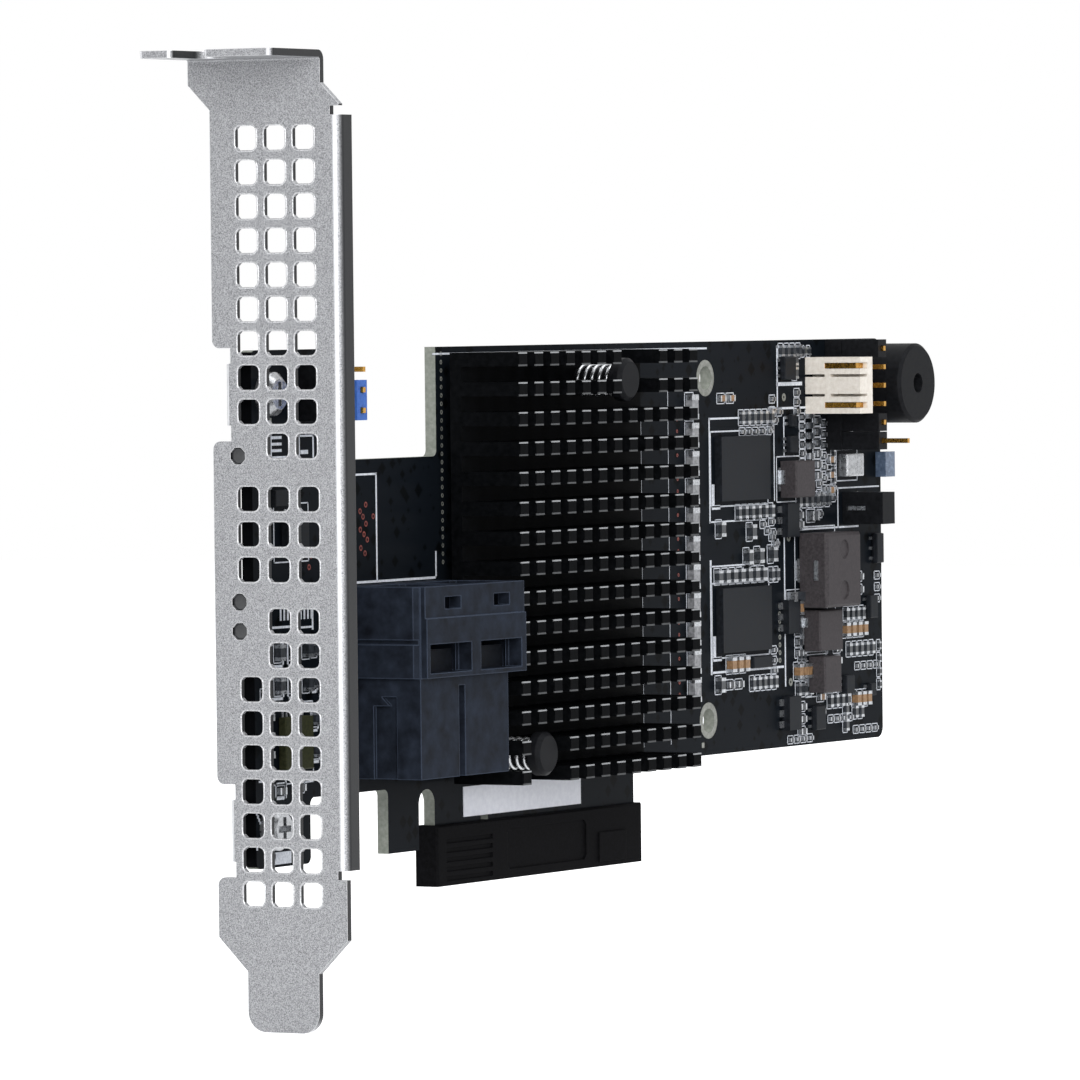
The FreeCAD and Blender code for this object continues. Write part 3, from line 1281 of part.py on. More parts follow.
capacitors = []
for field, from_end, z, count, pitch in (
        ("upper", d.caps_a_from_end, d.caps_a_z, 4, d.caps_pitch),
        ("lower", d.caps_b_from_end, d.caps_b_z, 3, d.caps_pitch),
        ("memory", d.caps_c_from_end, d.caps_c_z, 7, d.caps_wide_pitch)):
    for i in range(count):
        capacitors.append(front_box(
            f"capacitor_{field}_{i}", board_right - from_end + pitch * i, z,
            d.cap_body_wide, d.cap_body_long, d.cap_body_tall))
subparts.append(group("ceramic_capacitors", capacitors))

label = front_box("paper_label", d.label_x + d.label_long / 2,
                  d.label_z + d.label_high / 2, d.label_long, d.label_high, d.label_thick)
label.Label = "paper_label"
subparts.append(label)

# Solder joints behind the board, one under every through-hole pin.
joint_places = [(far_x, far_low + d.pin_pitch * i) for i in range(6)]
joint_places += [(near_x, near_low + d.pin_pitch * i) for i in range(3)]
joint_places += [(tower_x, d.tower_z + d.tower_pitch * way) for way in (-1, 0, 1)]
joint_places += [(buzzer_x, d.buzzer_z + d.buzzer_leads * way / 2) for way in (-1, 1)]
joint_places += [(plug_x, d.plug_z + d.pin_pitch * way / 2) for way in (-1, 1)]
joint_places += [(d.port_x + d.first_bay + d.bay_pitch * i, z)
                 for i in range(2) for z in (d.port_low + d.joint_in, collar_low)]
joints = []
for i, (x, z) in enumerate(joint_places):
    joint = doc.addObject("Part::Prism", f"solder_joint_{i}")
    joint.Polygon = 6
    bind(joint, "Circumradius", d.joint_wide / 2)
    bind(joint, "Height", d.joint_tall)
    joint.Placement = FreeCAD.Placement(Vector(), FreeCAD.Rotation(X_AXIS, -90))
    bind(joint, "Placement.Base.x", x)
    bind(joint, "Placement.Base.y", board_back)
    bind(joint, "Placement.Base.z", z)
    joints.append(joint)
subparts.append(group("solder_joints", joints))

# ----------------------------------------------------------------- checks and export
doc.recompute()
for item in doc.Objects:
    if "Invalid" in item.State or "Error" in item.State:
        raise RuntimeError(f"{item.Name} failed: {item.State}")
for item in subparts:
    if item.Shape.isNull() or not item.Shape.isValid() or not item.Shape.Solids:
        raise RuntimeError(f"{item.Label} has no valid shape")
for item in subparts:
    item.Shape.exportStep(f"parts/{item.Label}.step")
    print(f"{item.Label:22s} {len(item.Shape.Solids):3d} solids {item.Shape.Volume:10.2f}")
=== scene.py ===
import bmesh
import bpy
import math
import random
from mathutils import Matrix, Vector


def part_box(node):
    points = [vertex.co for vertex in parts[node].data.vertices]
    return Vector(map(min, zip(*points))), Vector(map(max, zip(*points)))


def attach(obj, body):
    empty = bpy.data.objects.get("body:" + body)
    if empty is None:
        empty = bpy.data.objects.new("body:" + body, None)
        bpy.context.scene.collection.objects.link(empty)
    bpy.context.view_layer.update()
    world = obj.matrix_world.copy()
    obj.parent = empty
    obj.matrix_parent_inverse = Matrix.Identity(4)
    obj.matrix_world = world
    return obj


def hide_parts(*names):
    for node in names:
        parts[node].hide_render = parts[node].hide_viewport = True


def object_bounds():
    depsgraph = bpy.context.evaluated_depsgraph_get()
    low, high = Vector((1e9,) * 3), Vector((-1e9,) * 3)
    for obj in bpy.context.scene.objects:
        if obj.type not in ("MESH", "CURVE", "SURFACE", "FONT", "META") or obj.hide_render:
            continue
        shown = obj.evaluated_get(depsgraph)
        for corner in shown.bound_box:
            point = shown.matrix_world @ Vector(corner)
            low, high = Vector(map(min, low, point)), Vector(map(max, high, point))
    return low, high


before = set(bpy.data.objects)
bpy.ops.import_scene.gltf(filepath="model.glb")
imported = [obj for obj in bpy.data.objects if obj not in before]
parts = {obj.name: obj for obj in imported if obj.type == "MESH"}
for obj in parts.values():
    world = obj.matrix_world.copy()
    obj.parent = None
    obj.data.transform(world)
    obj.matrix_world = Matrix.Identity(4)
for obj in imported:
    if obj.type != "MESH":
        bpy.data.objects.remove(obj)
cad_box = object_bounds()

# ------------------------------------------------------------------------------ studio
# The card stands upright on a white table, seen through a long lens from board height.
# Room and table are plain white to the lens, to mirrors and through glass; three soft
# lamps light the front and one the far side.
MM = 0.001


def srgb(code):
    """Linear RGBA of a six-digit sRGB hex colour."""
    channels = [int(code[i:i + 2], 16) / 255 for i in (0, 2, 4)]
    return tuple(c / 12.92 if c <= 0.04045 else ((c + 0.055) / 1.055) ** 2.4
                 for c in channels) + (1.0,)


def add(tree, kind, settings=None, links=None):
    """Add a node, set its inputs or properties by name, and link its inputs."""
    made = tree.nodes.new(kind)
    for name, value in (settings or {}).items():
        if isinstance(name, int) or name in made.inputs:
            made.inputs[name].default_value = value
        else:
            setattr(made, name, value)
    for name, source in (links or {}).items():
        tree.links.new(source, made.inputs[name])
    return made


def seen_directly(tree):
    """One for a ray from the lens, a mirror or glass, and zero for diffuse light."""
    rays = add(tree, "ShaderNodeLightPath")
    mirrored = add(tree, "ShaderNodeMath", {"operation": "MAXIMUM"}, {
        0: rays.outputs["Is Camera Ray"], 1: rays.outputs["Is Glossy Ray"]})
    seen = add(tree, "ShaderNodeMath", {"operation": "MAXIMUM"}, {
        0: mirrored.outputs[0], 1: rays.outputs["Is Transmission Ray"]})
    return seen.outputs[0]


eye = bpy.data.objects.new("studio_camera", bpy.data.cameras.new("studio_camera"))
bpy.context.scene.collection.objects.link(eye)
look = Vector((0.86920, 0.49369, -0.02759))
side = Vector((0.49360, -0.86962, -0.01066))
above = Vector((0.02926, 0.00435, 0.99956))
turn = Matrix((side, above, -look)).transposed().to_4x4()
eye.matrix_world = Matrix.Translation(Vector((-957.55, -553.33, 73.15)) * MM) @ turn
eye.data.lens = 287.37
eye.data.sensor_width = 36
eye.data.clip_start = 0.05
bpy.context.scene.camera = eye
bpy.context.scene.view_settings.view_transform = "Standard"

world = bpy.data.worlds.new("white_room")
bpy.context.scene.world = world
world.use_nodes = True
sky = world.node_tree
sky.nodes.clear()
room = add(sky, "ShaderNodeBackground", {"Color": srgb("f4f6fa"), "Strength": 0.4})
white = add(sky, "ShaderNodeBackground", {"Color": (1, 1, 1, 1), "Strength": 1.0})
pick = add(sky, "ShaderNodeMixShader", links={
    0: seen_directly(sky), 1: room.outputs[0], 2: white.outputs[0]})
add(sky, "ShaderNodeOutputWorld", links={"Surface": pick.outputs[0]})

for name, place, aim, size, watts in (
        ("key_panel", (-0.95, -0.75, 0.45), (-0.02, 0, 0.04), 0.7, 11.5),
        ("front_panel", (-0.45, -1.1, 0.35), (0.03, 0, 0.03), 0.7, 1.0),
        ("top_panel", (0.1, -0.3, 1.0), (0.03, 0, 0.03), 0.5, 4.0),
        ("back_panel", (0.3, 1.1, 0.5), (0.02, 0, 0.03), 0.8, 7.0)):
    lamp = bpy.data.objects.new(name, bpy.data.lights.new(name, "AREA"))
    bpy.context.scene.collection.objects.link(lamp)
    lamp.data.shape = "SQUARE"
    lamp.data.size = size
    lamp.data.energy = watts
    lamp.location = place
    towards = Vector(aim) - Vector(place)
    lamp.rotation_euler = towards.to_track_quat("-Z", "Y").to_euler()

TABLE_HALF = 1.6
TABLE_BELOW = 0.5 * MM
table = bmesh.new()
bmesh.ops.create_grid(table, x_segments=1, y_segments=1, size=TABLE_HALF)
bmesh.ops.translate(table, verts=table.verts, vec=(0, 0, cad_box[0][2] - TABLE_BELOW))
table_mesh = bpy.data.meshes.new("white_table")
table.to_mesh(table_mesh)
table.free()
white_table = bpy.data.objects.new("white_table", table_mesh)
bpy.context.scene.collection.objects.link(white_table)
paper = bpy.data.materials.new("white_paper_sweep")
paper.use_nodes = True
tree = paper.node_tree
tree.nodes.clear()
share = add(tree, "ShaderNodeMath", {"operation": "MULTIPLY", 1: 0.75},
            {0: seen_directly(tree)})
matt = add(tree, "ShaderNodeBsdfDiffuse", {"Color": srgb("ececec")})
glow = add(tree, "ShaderNodeEmission", {"Color": (1, 1, 1, 1)},
           {"Strength": share.outputs[0]})
mixed = add(tree, "ShaderNodeAddShader", links={0: matt.outputs[0], 1: glow.outputs[0]})
add(tree, "ShaderNodeOutputMaterial", links={"Surface": mixed.outputs[0]})
white_table.data.materials.append(paper)


# ----------------------------------------------------------------------------- bracket
# The bracket is folded from thin zinc-plated steel, punched with rows of square vents.
# Plating gives a pale grey with a fine mottle and a soft sheen; sideways faces get painted
# shade, and the fold and edges get painted highlights.
def finish(name, colour, rough, metal=0.0, mirror=0.5):
    """A material with one surface shader; mirror is how strongly its skin reflects."""
    made = bpy.data.materials.new(name)
    made.use_nodes = True
    shader = made.node_tree.nodes["Principled BSDF"]
    shader.inputs["Base Color"].default_value = srgb(colour)
    shader.inputs["Roughness"].default_value = rough
    shader.inputs["Metallic"].default_value = metal
    shader.inputs["Specular IOR Level"].default_value = mirror
    return made, made.node_tree, shader


def mottle(tree, shader, dark, light, size_mm, rough_low, rough_high, bump=0.0,
           edge_mm=0.0, detail=3.0, edge_highlight=None):
    """Cloudy colour and roughness at a real grain size, fine relief, and a painted
    highlight on edges.
    """
    place = add(tree, "ShaderNodeTexCoord")
    cloud = add(tree, "ShaderNodeTexNoise", {"Scale": 1 / (size_mm * MM),
                                             "Detail": detail, "Roughness": 0.6},
                {"Vector": place.outputs["Object"]})
    shade = add(tree, "ShaderNodeMix", {"data_type": "RGBA", 6: srgb(dark),
                                        7: srgb(light)})
    spread = add(tree, "ShaderNodeMapRange", {"From Min": 0.3, "From Max": 0.7},
                 {"Value": cloud.outputs["Fac"]})
    tree.links.new(spread.outputs["Result"], shade.inputs[0])
    tree.links.new(shade.outputs[2], shader.inputs["Base Color"])
    sheen = add(tree, "ShaderNodeMapRange", {"From Min": 0.3, "From Max": 0.7,
                                             "To Min": rough_low, "To Max": rough_high},
                {"Value": cloud.outputs["Fac"]})
    tree.links.new(sheen.outputs["Result"], shader.inputs["Roughness"])
    normal = None
    if edge_mm:
        normal = add(tree, "ShaderNodeBevel", {"Radius": edge_mm * MM, "samples": 4})
    if bump:
        relief = add(tree, "ShaderNodeBump", {"Strength": bump, "Distance": 0.02 * MM},
                     {"Height": cloud.outputs["Fac"]})
        if normal:
            tree.links.new(normal.outputs[0], relief.inputs["Normal"])
        normal = relief
    if normal:
        tree.links.new(normal.outputs[0], shader.inputs["Normal"])
    # Painted highlight: edges found by comparing the bevelled and the true normal are
    # mixed towards the given pale colour.
    if edge_highlight:
        eased = add(tree, "ShaderNodeBevel", {"Radius": edge_mm * MM, "samples": 6})
        true = add(tree, "ShaderNodeNewGeometry")
        bent = add(tree, "ShaderNodeVectorMath", {"operation": "DOT_PRODUCT"}, {
            0: eased.outputs[0], 1: true.outputs["True Normal"]})
        edge_highlight_mask = add(tree, "ShaderNodeMapRange", {"From Min": 0.995, "From Max": 0.93,
                                                  "To Min": 0.0, "To Max": 0.85},
                     {"Value": bent.outputs["Value"]})
        highlighted_edges = add(tree, "ShaderNodeMix", {"data_type": "RGBA", 7: srgb(edge_highlight)},
                    {0: edge_highlight_mask.outputs["Result"], 6: shade.outputs[2]})
        tree.links.new(highlighted_edges.outputs[2], shader.inputs["Base Color"])


def dress(node, material):
    """Give a part of the frame its finish."""
    parts[node].data.materials.clear()
    parts[node].data.materials.append(material)


zinc, tree, shader = finish("zinc_plated_steel", "b2b3b5", 0.45, metal=0.4, mirror=0.3)
# The near-white edge colour is a painted highlight along the bracket's edges.
mottle(tree, shader, "5c5d60", "c6c7ca", 0.13, 0.34, 0.55, bump=0.6, edge_mm=0.14,
       edge_highlight="e8e9eb")
plating = shader.inputs["Base Color"].links[0].from_socket
place = add(tree, "ShaderNodeTexCoord")
facing = add(tree, "ShaderNodeSeparateXYZ", links={0: place.outputs["Normal"]})
sideways = add(tree, "ShaderNodeMath", {"operation": "ABSOLUTE"},
               {0: facing.outputs["Y"]})
# Painted shade: surfaces that face sideways, on the flange and inside the vents, are
# painted dark grey.
side_shade = add(tree, "ShaderNodeMapRange", {"From Min": 0.75, "From Max": 0.98,
                                          "To Max": 0.97}, {"Value": sideways.outputs[0]})
where = add(tree, "ShaderNodeSeparateXYZ", links={0: place.outputs["Object"]})
FLANGE_FROM = -13.5 * MM
PLATE_BACK = -57.25 * MM
on_flange = add(tree, "ShaderNodeMath", {"operation": "LESS_THAN", 1: FLANGE_FROM},
                {0: where.outputs["Y"]})
in_vent = add(tree, "ShaderNodeMath", {"operation": "LESS_THAN", 1: PLATE_BACK},
              {0: where.outputs["X"]})
either = add(tree, "ShaderNodeMath", {"operation": "MAXIMUM"}, {
    0: on_flange.outputs[0], 1: in_vent.outputs[0]})
side_shade_amount = add(tree, "ShaderNodeMath", {"operation": "MULTIPLY"}, {
    0: side_shade.outputs["Result"], 1: either.outputs[0]})
painted_side_shade = add(tree, "ShaderNodeMix", {"data_type": "RGBA", 7: srgb("1b1c1e")},
             {0: side_shade_amount.outputs[0], 6: plating})
# A painted highlight: the fold is painted as a bright band, where the surface turns from
# front to side.
into_bend = add(tree, "ShaderNodeMapRange", {"From Min": 0.15, "From Max": 0.35},
                {"Value": sideways.outputs[0]})
out_of_bend = add(tree, "ShaderNodeMapRange", {"From Min": 0.68, "From Max": 0.48},
                  {"Value": sideways.outputs[0]})
bend_highlight = add(tree, "ShaderNodeMath", {"operation": "MINIMUM"}, {
    0: into_bend.outputs["Result"], 1: out_of_bend.outputs["Result"]})
painted_bend_highlight = add(tree, "ShaderNodeMix", {"data_type": "RGBA", 7: srgb("dcdde0")},
                {0: bend_highlight.outputs[0], 6: painted_side_shade.outputs[2]})
tree.links.new(painted_bend_highlight.outputs[2], shader.inputs["Base Color"])
dress("io_bracket", zinc)


def plain_mesh(piece):
    """Replace a piece's live modifiers by the mesh that they give, in place."""
    depsgraph = bpy.context.evaluated_depsgraph_get()
    mesh = bpy.data.meshes.new_from_object(piece.evaluated_get(depsgraph))
    mesh.name = piece.name
    piece.modifiers.clear()
    piece.data = mesh


def on_places(name, places, unit, sizes, material, slot, *stands_for, spans=None,
              turns=None):
    """One unit shape on every place, by Geometry Nodes, as a single plain piece."""
    points = bpy.data.meshes.new(name)
    points.from_pydata([Vector(p) * MM for p in places], [], [])
    points.attributes.new("unit_span", "FLOAT_VECTOR", "POINT")
    points.attributes.new("unit_turn", "FLOAT", "POINT")
    for k in range(len(places)):
        points.attributes["unit_span"].data[k].vector = (
            Vector(spans[k]) * MM if spans else (1, 1, 1))
        points.attributes["unit_turn"].data[k].value = turns[k] if turns else 0.0
    piece = bpy.data.objects.new(name, points)
    bpy.context.scene.collection.objects.link(piece)
    tree = bpy.data.node_groups.new(name, "GeometryNodeTree")
    tree.interface.new_socket("Geometry", in_out="INPUT",
                              socket_type="NodeSocketGeometry")
    knobs = {label: tree.interface.new_socket(label, in_out="INPUT",
                                              socket_type="NodeSocketFloat")
             for label in sizes}
    paint = tree.interface.new_socket("Finish", in_out="INPUT",
                                      socket_type="NodeSocketMaterial")
    tree.interface.new_socket("Geometry", in_out="OUTPUT",
                              socket_type="NodeSocketGeometry")
    given = add(tree, "NodeGroupInput").outputs
    spread = add(tree, "GeometryNodeInputNamedAttribute", {
        "data_type": "FLOAT_VECTOR", "Name": "unit_span"})
    angle = add(tree, "GeometryNodeInputNamedAttribute", {
        "data_type": "FLOAT", "Name": "unit_turn"})
    spin = add(tree, "ShaderNodeCombineXYZ", links={"Y": angle.outputs["Attribute"]})
    laid = add(tree, "GeometryNodeInstanceOnPoints", links={
        "Points": given["Geometry"], "Instance": unit(tree, given),
        "Rotation": spin.outputs["Vector"], "Scale": spread.outputs["Attribute"]})
    real = add(tree, "GeometryNodeRealizeInstances", links={
        "Geometry": laid.outputs["Instances"]})
    painted = add(tree, "GeometryNodeSetMaterial", links={
        "Geometry": real.outputs["Geometry"], "Material": given["Finish"]})
    add(tree, "NodeGroupOutput", links={"Geometry": painted.outputs["Geometry"]})
    maker = piece.modifiers.new(name, "NODES")
    maker.node_group = tree
    for label, value in sizes.items():
        maker[knobs[label].identifier] = float(value)
    maker[paint.identifier] = material
    plain_mesh(piece)
    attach(piece, "root")
    if stands_for:
        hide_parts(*stands_for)


def swept(tree, path, radius, sides):
    """A round wire of the given radius along a curve, smooth, its ends capped."""
    section = add(tree, "GeometryNodeCurvePrimitiveCircle", {"Resolution": sides},
                  {"Radius": radius})
    tube = add(tree, "GeometryNodeCurveToMesh", {"Fill Caps": True},
               {"Curve": path, "Profile Curve": section.outputs["Curve"]})
    smooth = add(tree, "GeometryNodeSetShadeSmooth", links={
        "Geometry": tube.outputs["Mesh"]})
    return smooth.outputs["Geometry"]


def vent_bead(tree, given):
    """The rolled rim that the punch leaves round a square vent, with eased corners."""
    outline = add(tree, "GeometryNodeCurvePrimitiveQuadrilateral", links={
        "Width": given["Vent"], "Height": given["Vent"]})
    eased = add(tree, "GeometryNodeFilletCurve", {"mode": "POLY", "Count": 5}, {
        "Curve": outline.outputs["Curve"], "Radius": given["Corner"]})
    upright = add(tree, "GeometryNodeTransform", {"Rotation": (0, math.pi / 2, 0)}, {
        "Geometry": eased.outputs["Curve"]})
    return swept(tree, upright.outputs["Geometry"], given["Bead"], 8)


# Punching burnishes the rims: brighter and smoother than the plating round them.
rim_metal, tree, shader = finish("burnished_zinc_rim", "c4c5c8", 0.32, metal=0.8)
mottle(tree, shader, "8f9093", "dedfe1", 0.2, 0.26, 0.4)
# Each vent has a rolled rim: nine full rows and a short row above, three wider rows in
# the middle, then two short rows and seven full ones.  Columns are 4.1 mm apart.
VENT_ROW = 4.18
columns = (-9.89, -5.79, -1.69)
vents = [(y, 93.55 - VENT_ROW * k) for k in range(9) for y in columns]
vents += [(y, 55.93) for y in columns[:2]]
vents += [(y, 49.45 - 4.33 * k) for k in range(3) for y in (-10.09, -5.79, -1.49)]
vents += [(y, 34.5 - VENT_ROW * k) for k in range(2) for y in columns[:2]]
vents += [(y, 26.14 - VENT_ROW * k) for k in range(7) for y in columns]
on_places("vent_rims", [(-58.12, y, z) for y, z in vents], vent_bead,
          {"Vent": 3.2 * MM, "Corner": 0.85 * MM, "Bead": 0.12 * MM}, rim_metal,
          "zinc_steel")



def loft(bm, rows):
    """Walls between loops with as many points each, closed at both ends."""
    bm.faces.new(rows[0])
    bm.faces.new(rows[-1])
    for one, two in zip(rows, rows[1:]):
        for k in range(len(one)):
            j = (k + 1) % len(one)
            bm.faces.new((one[k], one[j], two[j], two[k]))


# Smoked lenses are pressed into the three round holes, in front of the board's lamps.
smoked, tree, shader = finish("smoked_polycarbonate", "333436", 0.35)
mottle(tree, shader, "2e2f31", "393a3c", 0.5, 0.3, 0.42)
lenses = bmesh.new()
LENS_SIDES = 24
for z in (54.7, 36.8, 33.2):
    loft(lenses, [[lenses.verts.new(Vector((
        x, -0.085 + radius * math.cos(math.tau * k / LENS_SIDES),
        z + radius * math.sin(math.tau * k / LENS_SIDES))) * MM)
        for k in range(LENS_SIDES)]
        for radius, x in ((1.03, -57.35), (1.03, -57.9), (0.85, -58.0), (0.45, -58.05))])


def finished_piece(name, bm, material, slot, *stands_for, soft=None):
    """Turn a mesh under construction into a named piece that rides on the card.

    Soft is the angle in degrees below which neighbouring faces shade as one.
    """
    bmesh.ops.recalc_face_normals(bm, faces=bm.faces)
    mesh = bpy.data.meshes.new(name)
    bm.to_mesh(mesh)
    bm.free()
    piece = bpy.data.objects.new(name, mesh)
    bpy.context.scene.collection.objects.link(piece)
    mesh.materials.append(material)
    if soft:
        mesh.shade_smooth()
        mesh.set_sharp_from_angle(angle=math.radians(soft))
    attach(piece, "root")
    if stands_for:
        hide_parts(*stands_for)


finished_piece("smoked_lenses", lenses, smoked, "lamp_lens", soft=50)

# Two pan-head steel screws hold the board to the bracket's ears.
# Bright plated steel, a little brushed, with sharp reflections on the domed heads.
plated, tree, shader = finish("nickel_plated_steel", "a9abae", 0.3, metal=0.85)
mottle(tree, shader, "8f9194", "bcbec1", 0.5, 0.22, 0.36, bump=0.1, edge_mm=0.1)
dress("bracket_screws", plated)

# ------------------------------------------------------------------------------- board
# The board is glass laminate under a black solder mask.  Copper tracks and poured planes
# show through the mask as a faint relief.  The routed edge is bare resin, a pale olive,
# but the end at the bracket is painted near black: painted shade from the bracket.
mask, tree, shader = finish("black_solder_mask", "07090c", 0.35, mirror=0.02)
place = add(tree, "ShaderNodeTexCoord")
tracks = add(tree, "ShaderNodeTexVoronoi", {"Scale": 420.0, "distance": "MANHATTAN"},
             {"Vector": place.outputs["Object"]})
copper = add(tree, "ShaderNodeMapRange", {"From Min": 0.35, "From Max": 0.5},
             {"Value": tracks.outputs["Distance"]})
tone = add(tree, "ShaderNodeMix", {"data_type": "RGBA", 6: srgb("06080a"),
                                   7: srgb("101419")}, {0: copper.outputs["Result"]})
facing = add(tree, "ShaderNodeNewGeometry")
turned = add(tree, "ShaderNodeSeparateXYZ", links={0: facing.outputs["Normal"]})
flat = add(tree, "ShaderNodeMath", {"operation": "ABSOLUTE"}, {0: turned.outputs["Y"]})
edge = add(tree, "ShaderNodeMath", {"operation": "LESS_THAN", 1: 0.5},
           {0: flat.outputs[0]})
weave = add(tree, "ShaderNodeTexNoise", {"Scale": 1 / (0.5 * MM), "Detail": 2.0},
            {"Vector": place.outputs["Object"]})
resin = add(tree, "ShaderNodeMix", {"data_type": "RGBA", 6: srgb("6f746c"),
                                    7: srgb("a0a39b")}, {0: weave.outputs["Fac"]})
along = add(tree, "ShaderNodeSeparateXYZ", links={0: place.outputs["Object"]})
# Painted shade: the board's end edge next to the bracket is coloured near black.
SHADED_END_UP_TO = -55.7 * MM
shaded_end = add(tree, "ShaderNodeMath", {"operation": "LESS_THAN", 1: SHADED_END_UP_TO},
             {0: along.outputs["X"]})
resin = add(tree, "ShaderNodeMix", {"data_type": "RGBA", 7: srgb("0a0b0d")},
            {0: shaded_end.outputs[0], 6: resin.outputs[2]})
cut = add(tree, "ShaderNodeMix", {"data_type": "RGBA"},
          {0: edge.outputs[0], 6: tone.outputs[2], 7: resin.outputs[2]})
tree.links.new(cut.outputs[2], shader.inputs["Base Color"])
relief = add(tree, "ShaderNodeBump", {"Strength": 0.1, "Distance": 0.03 * MM},
             {"Height": copper.outputs["Result"]})
tree.links.new(relief.outputs[0], shader.inputs["Normal"])
dress("circuit_board", mask)

# Gold-plated contacts and pins: hard gold over nickel, smooth, with small tonal shifts.
gold, tree, shader = finish("gold_plating", "c8973c", 0.25, metal=1.0)
mottle(tree, shader, "b58536", "cf9f4a", 0.4, 0.2, 0.34, bump=0.05)
for node in ("edge_contacts", "far_header_pins", "near_header_pins", "tower_contacts"):
    dress(node, gold)
# Reflowed tin: bright grey metal with a soft, uneven surface.
tin, tree, shader = finish("tinned_solder", "b4b7bb", 0.3, metal=0.9)
mottle(tree, shader, "989b9f", "cfd2d6", 0.3, 0.22, 0.4, bump=0.2)
for node in ("chip_leads", "choke_terminals", "small_plug_contact"):
    dress(node, tin)

# ---------------------------------------------------------------------- printed marks
# White epoxy ink is screened on the mask: outlines round the parts, corner marks for
# their first pin, and dividing lines.  It lies a few hundredths proud, slightly uneven.
board_low, board_high = (Vector(c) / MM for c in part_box("circuit_board"))
FRONT = board_low.y
BACK = board_high.y
INK = 0.03
PRINT_TOP = FRONT - INK


def slab(bm, x0, z0, x1, z1, y0, y1):
    """A closed block between two corners, in millimetres."""
    corners = [bm.verts.new(Vector((x, y, z)) * MM)
               for y in (min(y0, y1), max(y0, y1))
               for x, z in ((x0, z0), (x1, z0), (x1, z1), (x0, z1))]
    for side in ((0, 1, 2, 3), (7, 6, 5, 4), (4, 5, 1, 0), (5, 6, 2, 1), (6, 7, 3, 2),
                 (7, 4, 0, 3)):
        bm.faces.new([corners[i] for i in side])


def ink_line(bm, x0, z0, x1, z1, wide=0.2, surface=None):
    """A printed line along or up the card, on its front unless told otherwise."""
    half = wide / 2
    near, far = surface or (PRINT_TOP, FRONT)
    slab(bm, min(x0, x1) - half, min(z0, z1) - half, max(x0, x1) + half,
         max(z0, z1) + half, near, far)


def ink_frame(bm, x, z, wide, high, line=0.16, surface=None):
    """A printed outline centred at x, z."""
    a, b, c, e = x - wide / 2, x + wide / 2, z - high / 2, z + high / 2
    for ends in ((a, c, b, c), (a, e, b, e), (a, c, a, e), (b, c, b, e)):
        ink_line(bm, *ends, line, surface)


def circle(bm, x, y, z, radius, sides):
    """The points of a circle that lies flat on the card."""
    return [bm.verts.new(Vector((x + radius * math.cos(k * math.tau / sides), y,
                                 z + radius * math.sin(k * math.tau / sides))) * MM)
            for k in range(sides)]


def ring(bm, x, z, outer, inner, y0, y1, sides=24):
    """A closed flat ring between two levels."""
    loops = [circle(bm, x, y, z, radius, sides) for radius, y in (
        (outer, y0), (outer, y1), (inner, y1), (inner, y0))]
    for a, b in zip(loops, loops[1:] + loops[:1]):
        for k in range(sides):
            bm.faces.new((a[k], b[k], b[(k + 1) % sides], a[(k + 1) % sides]))


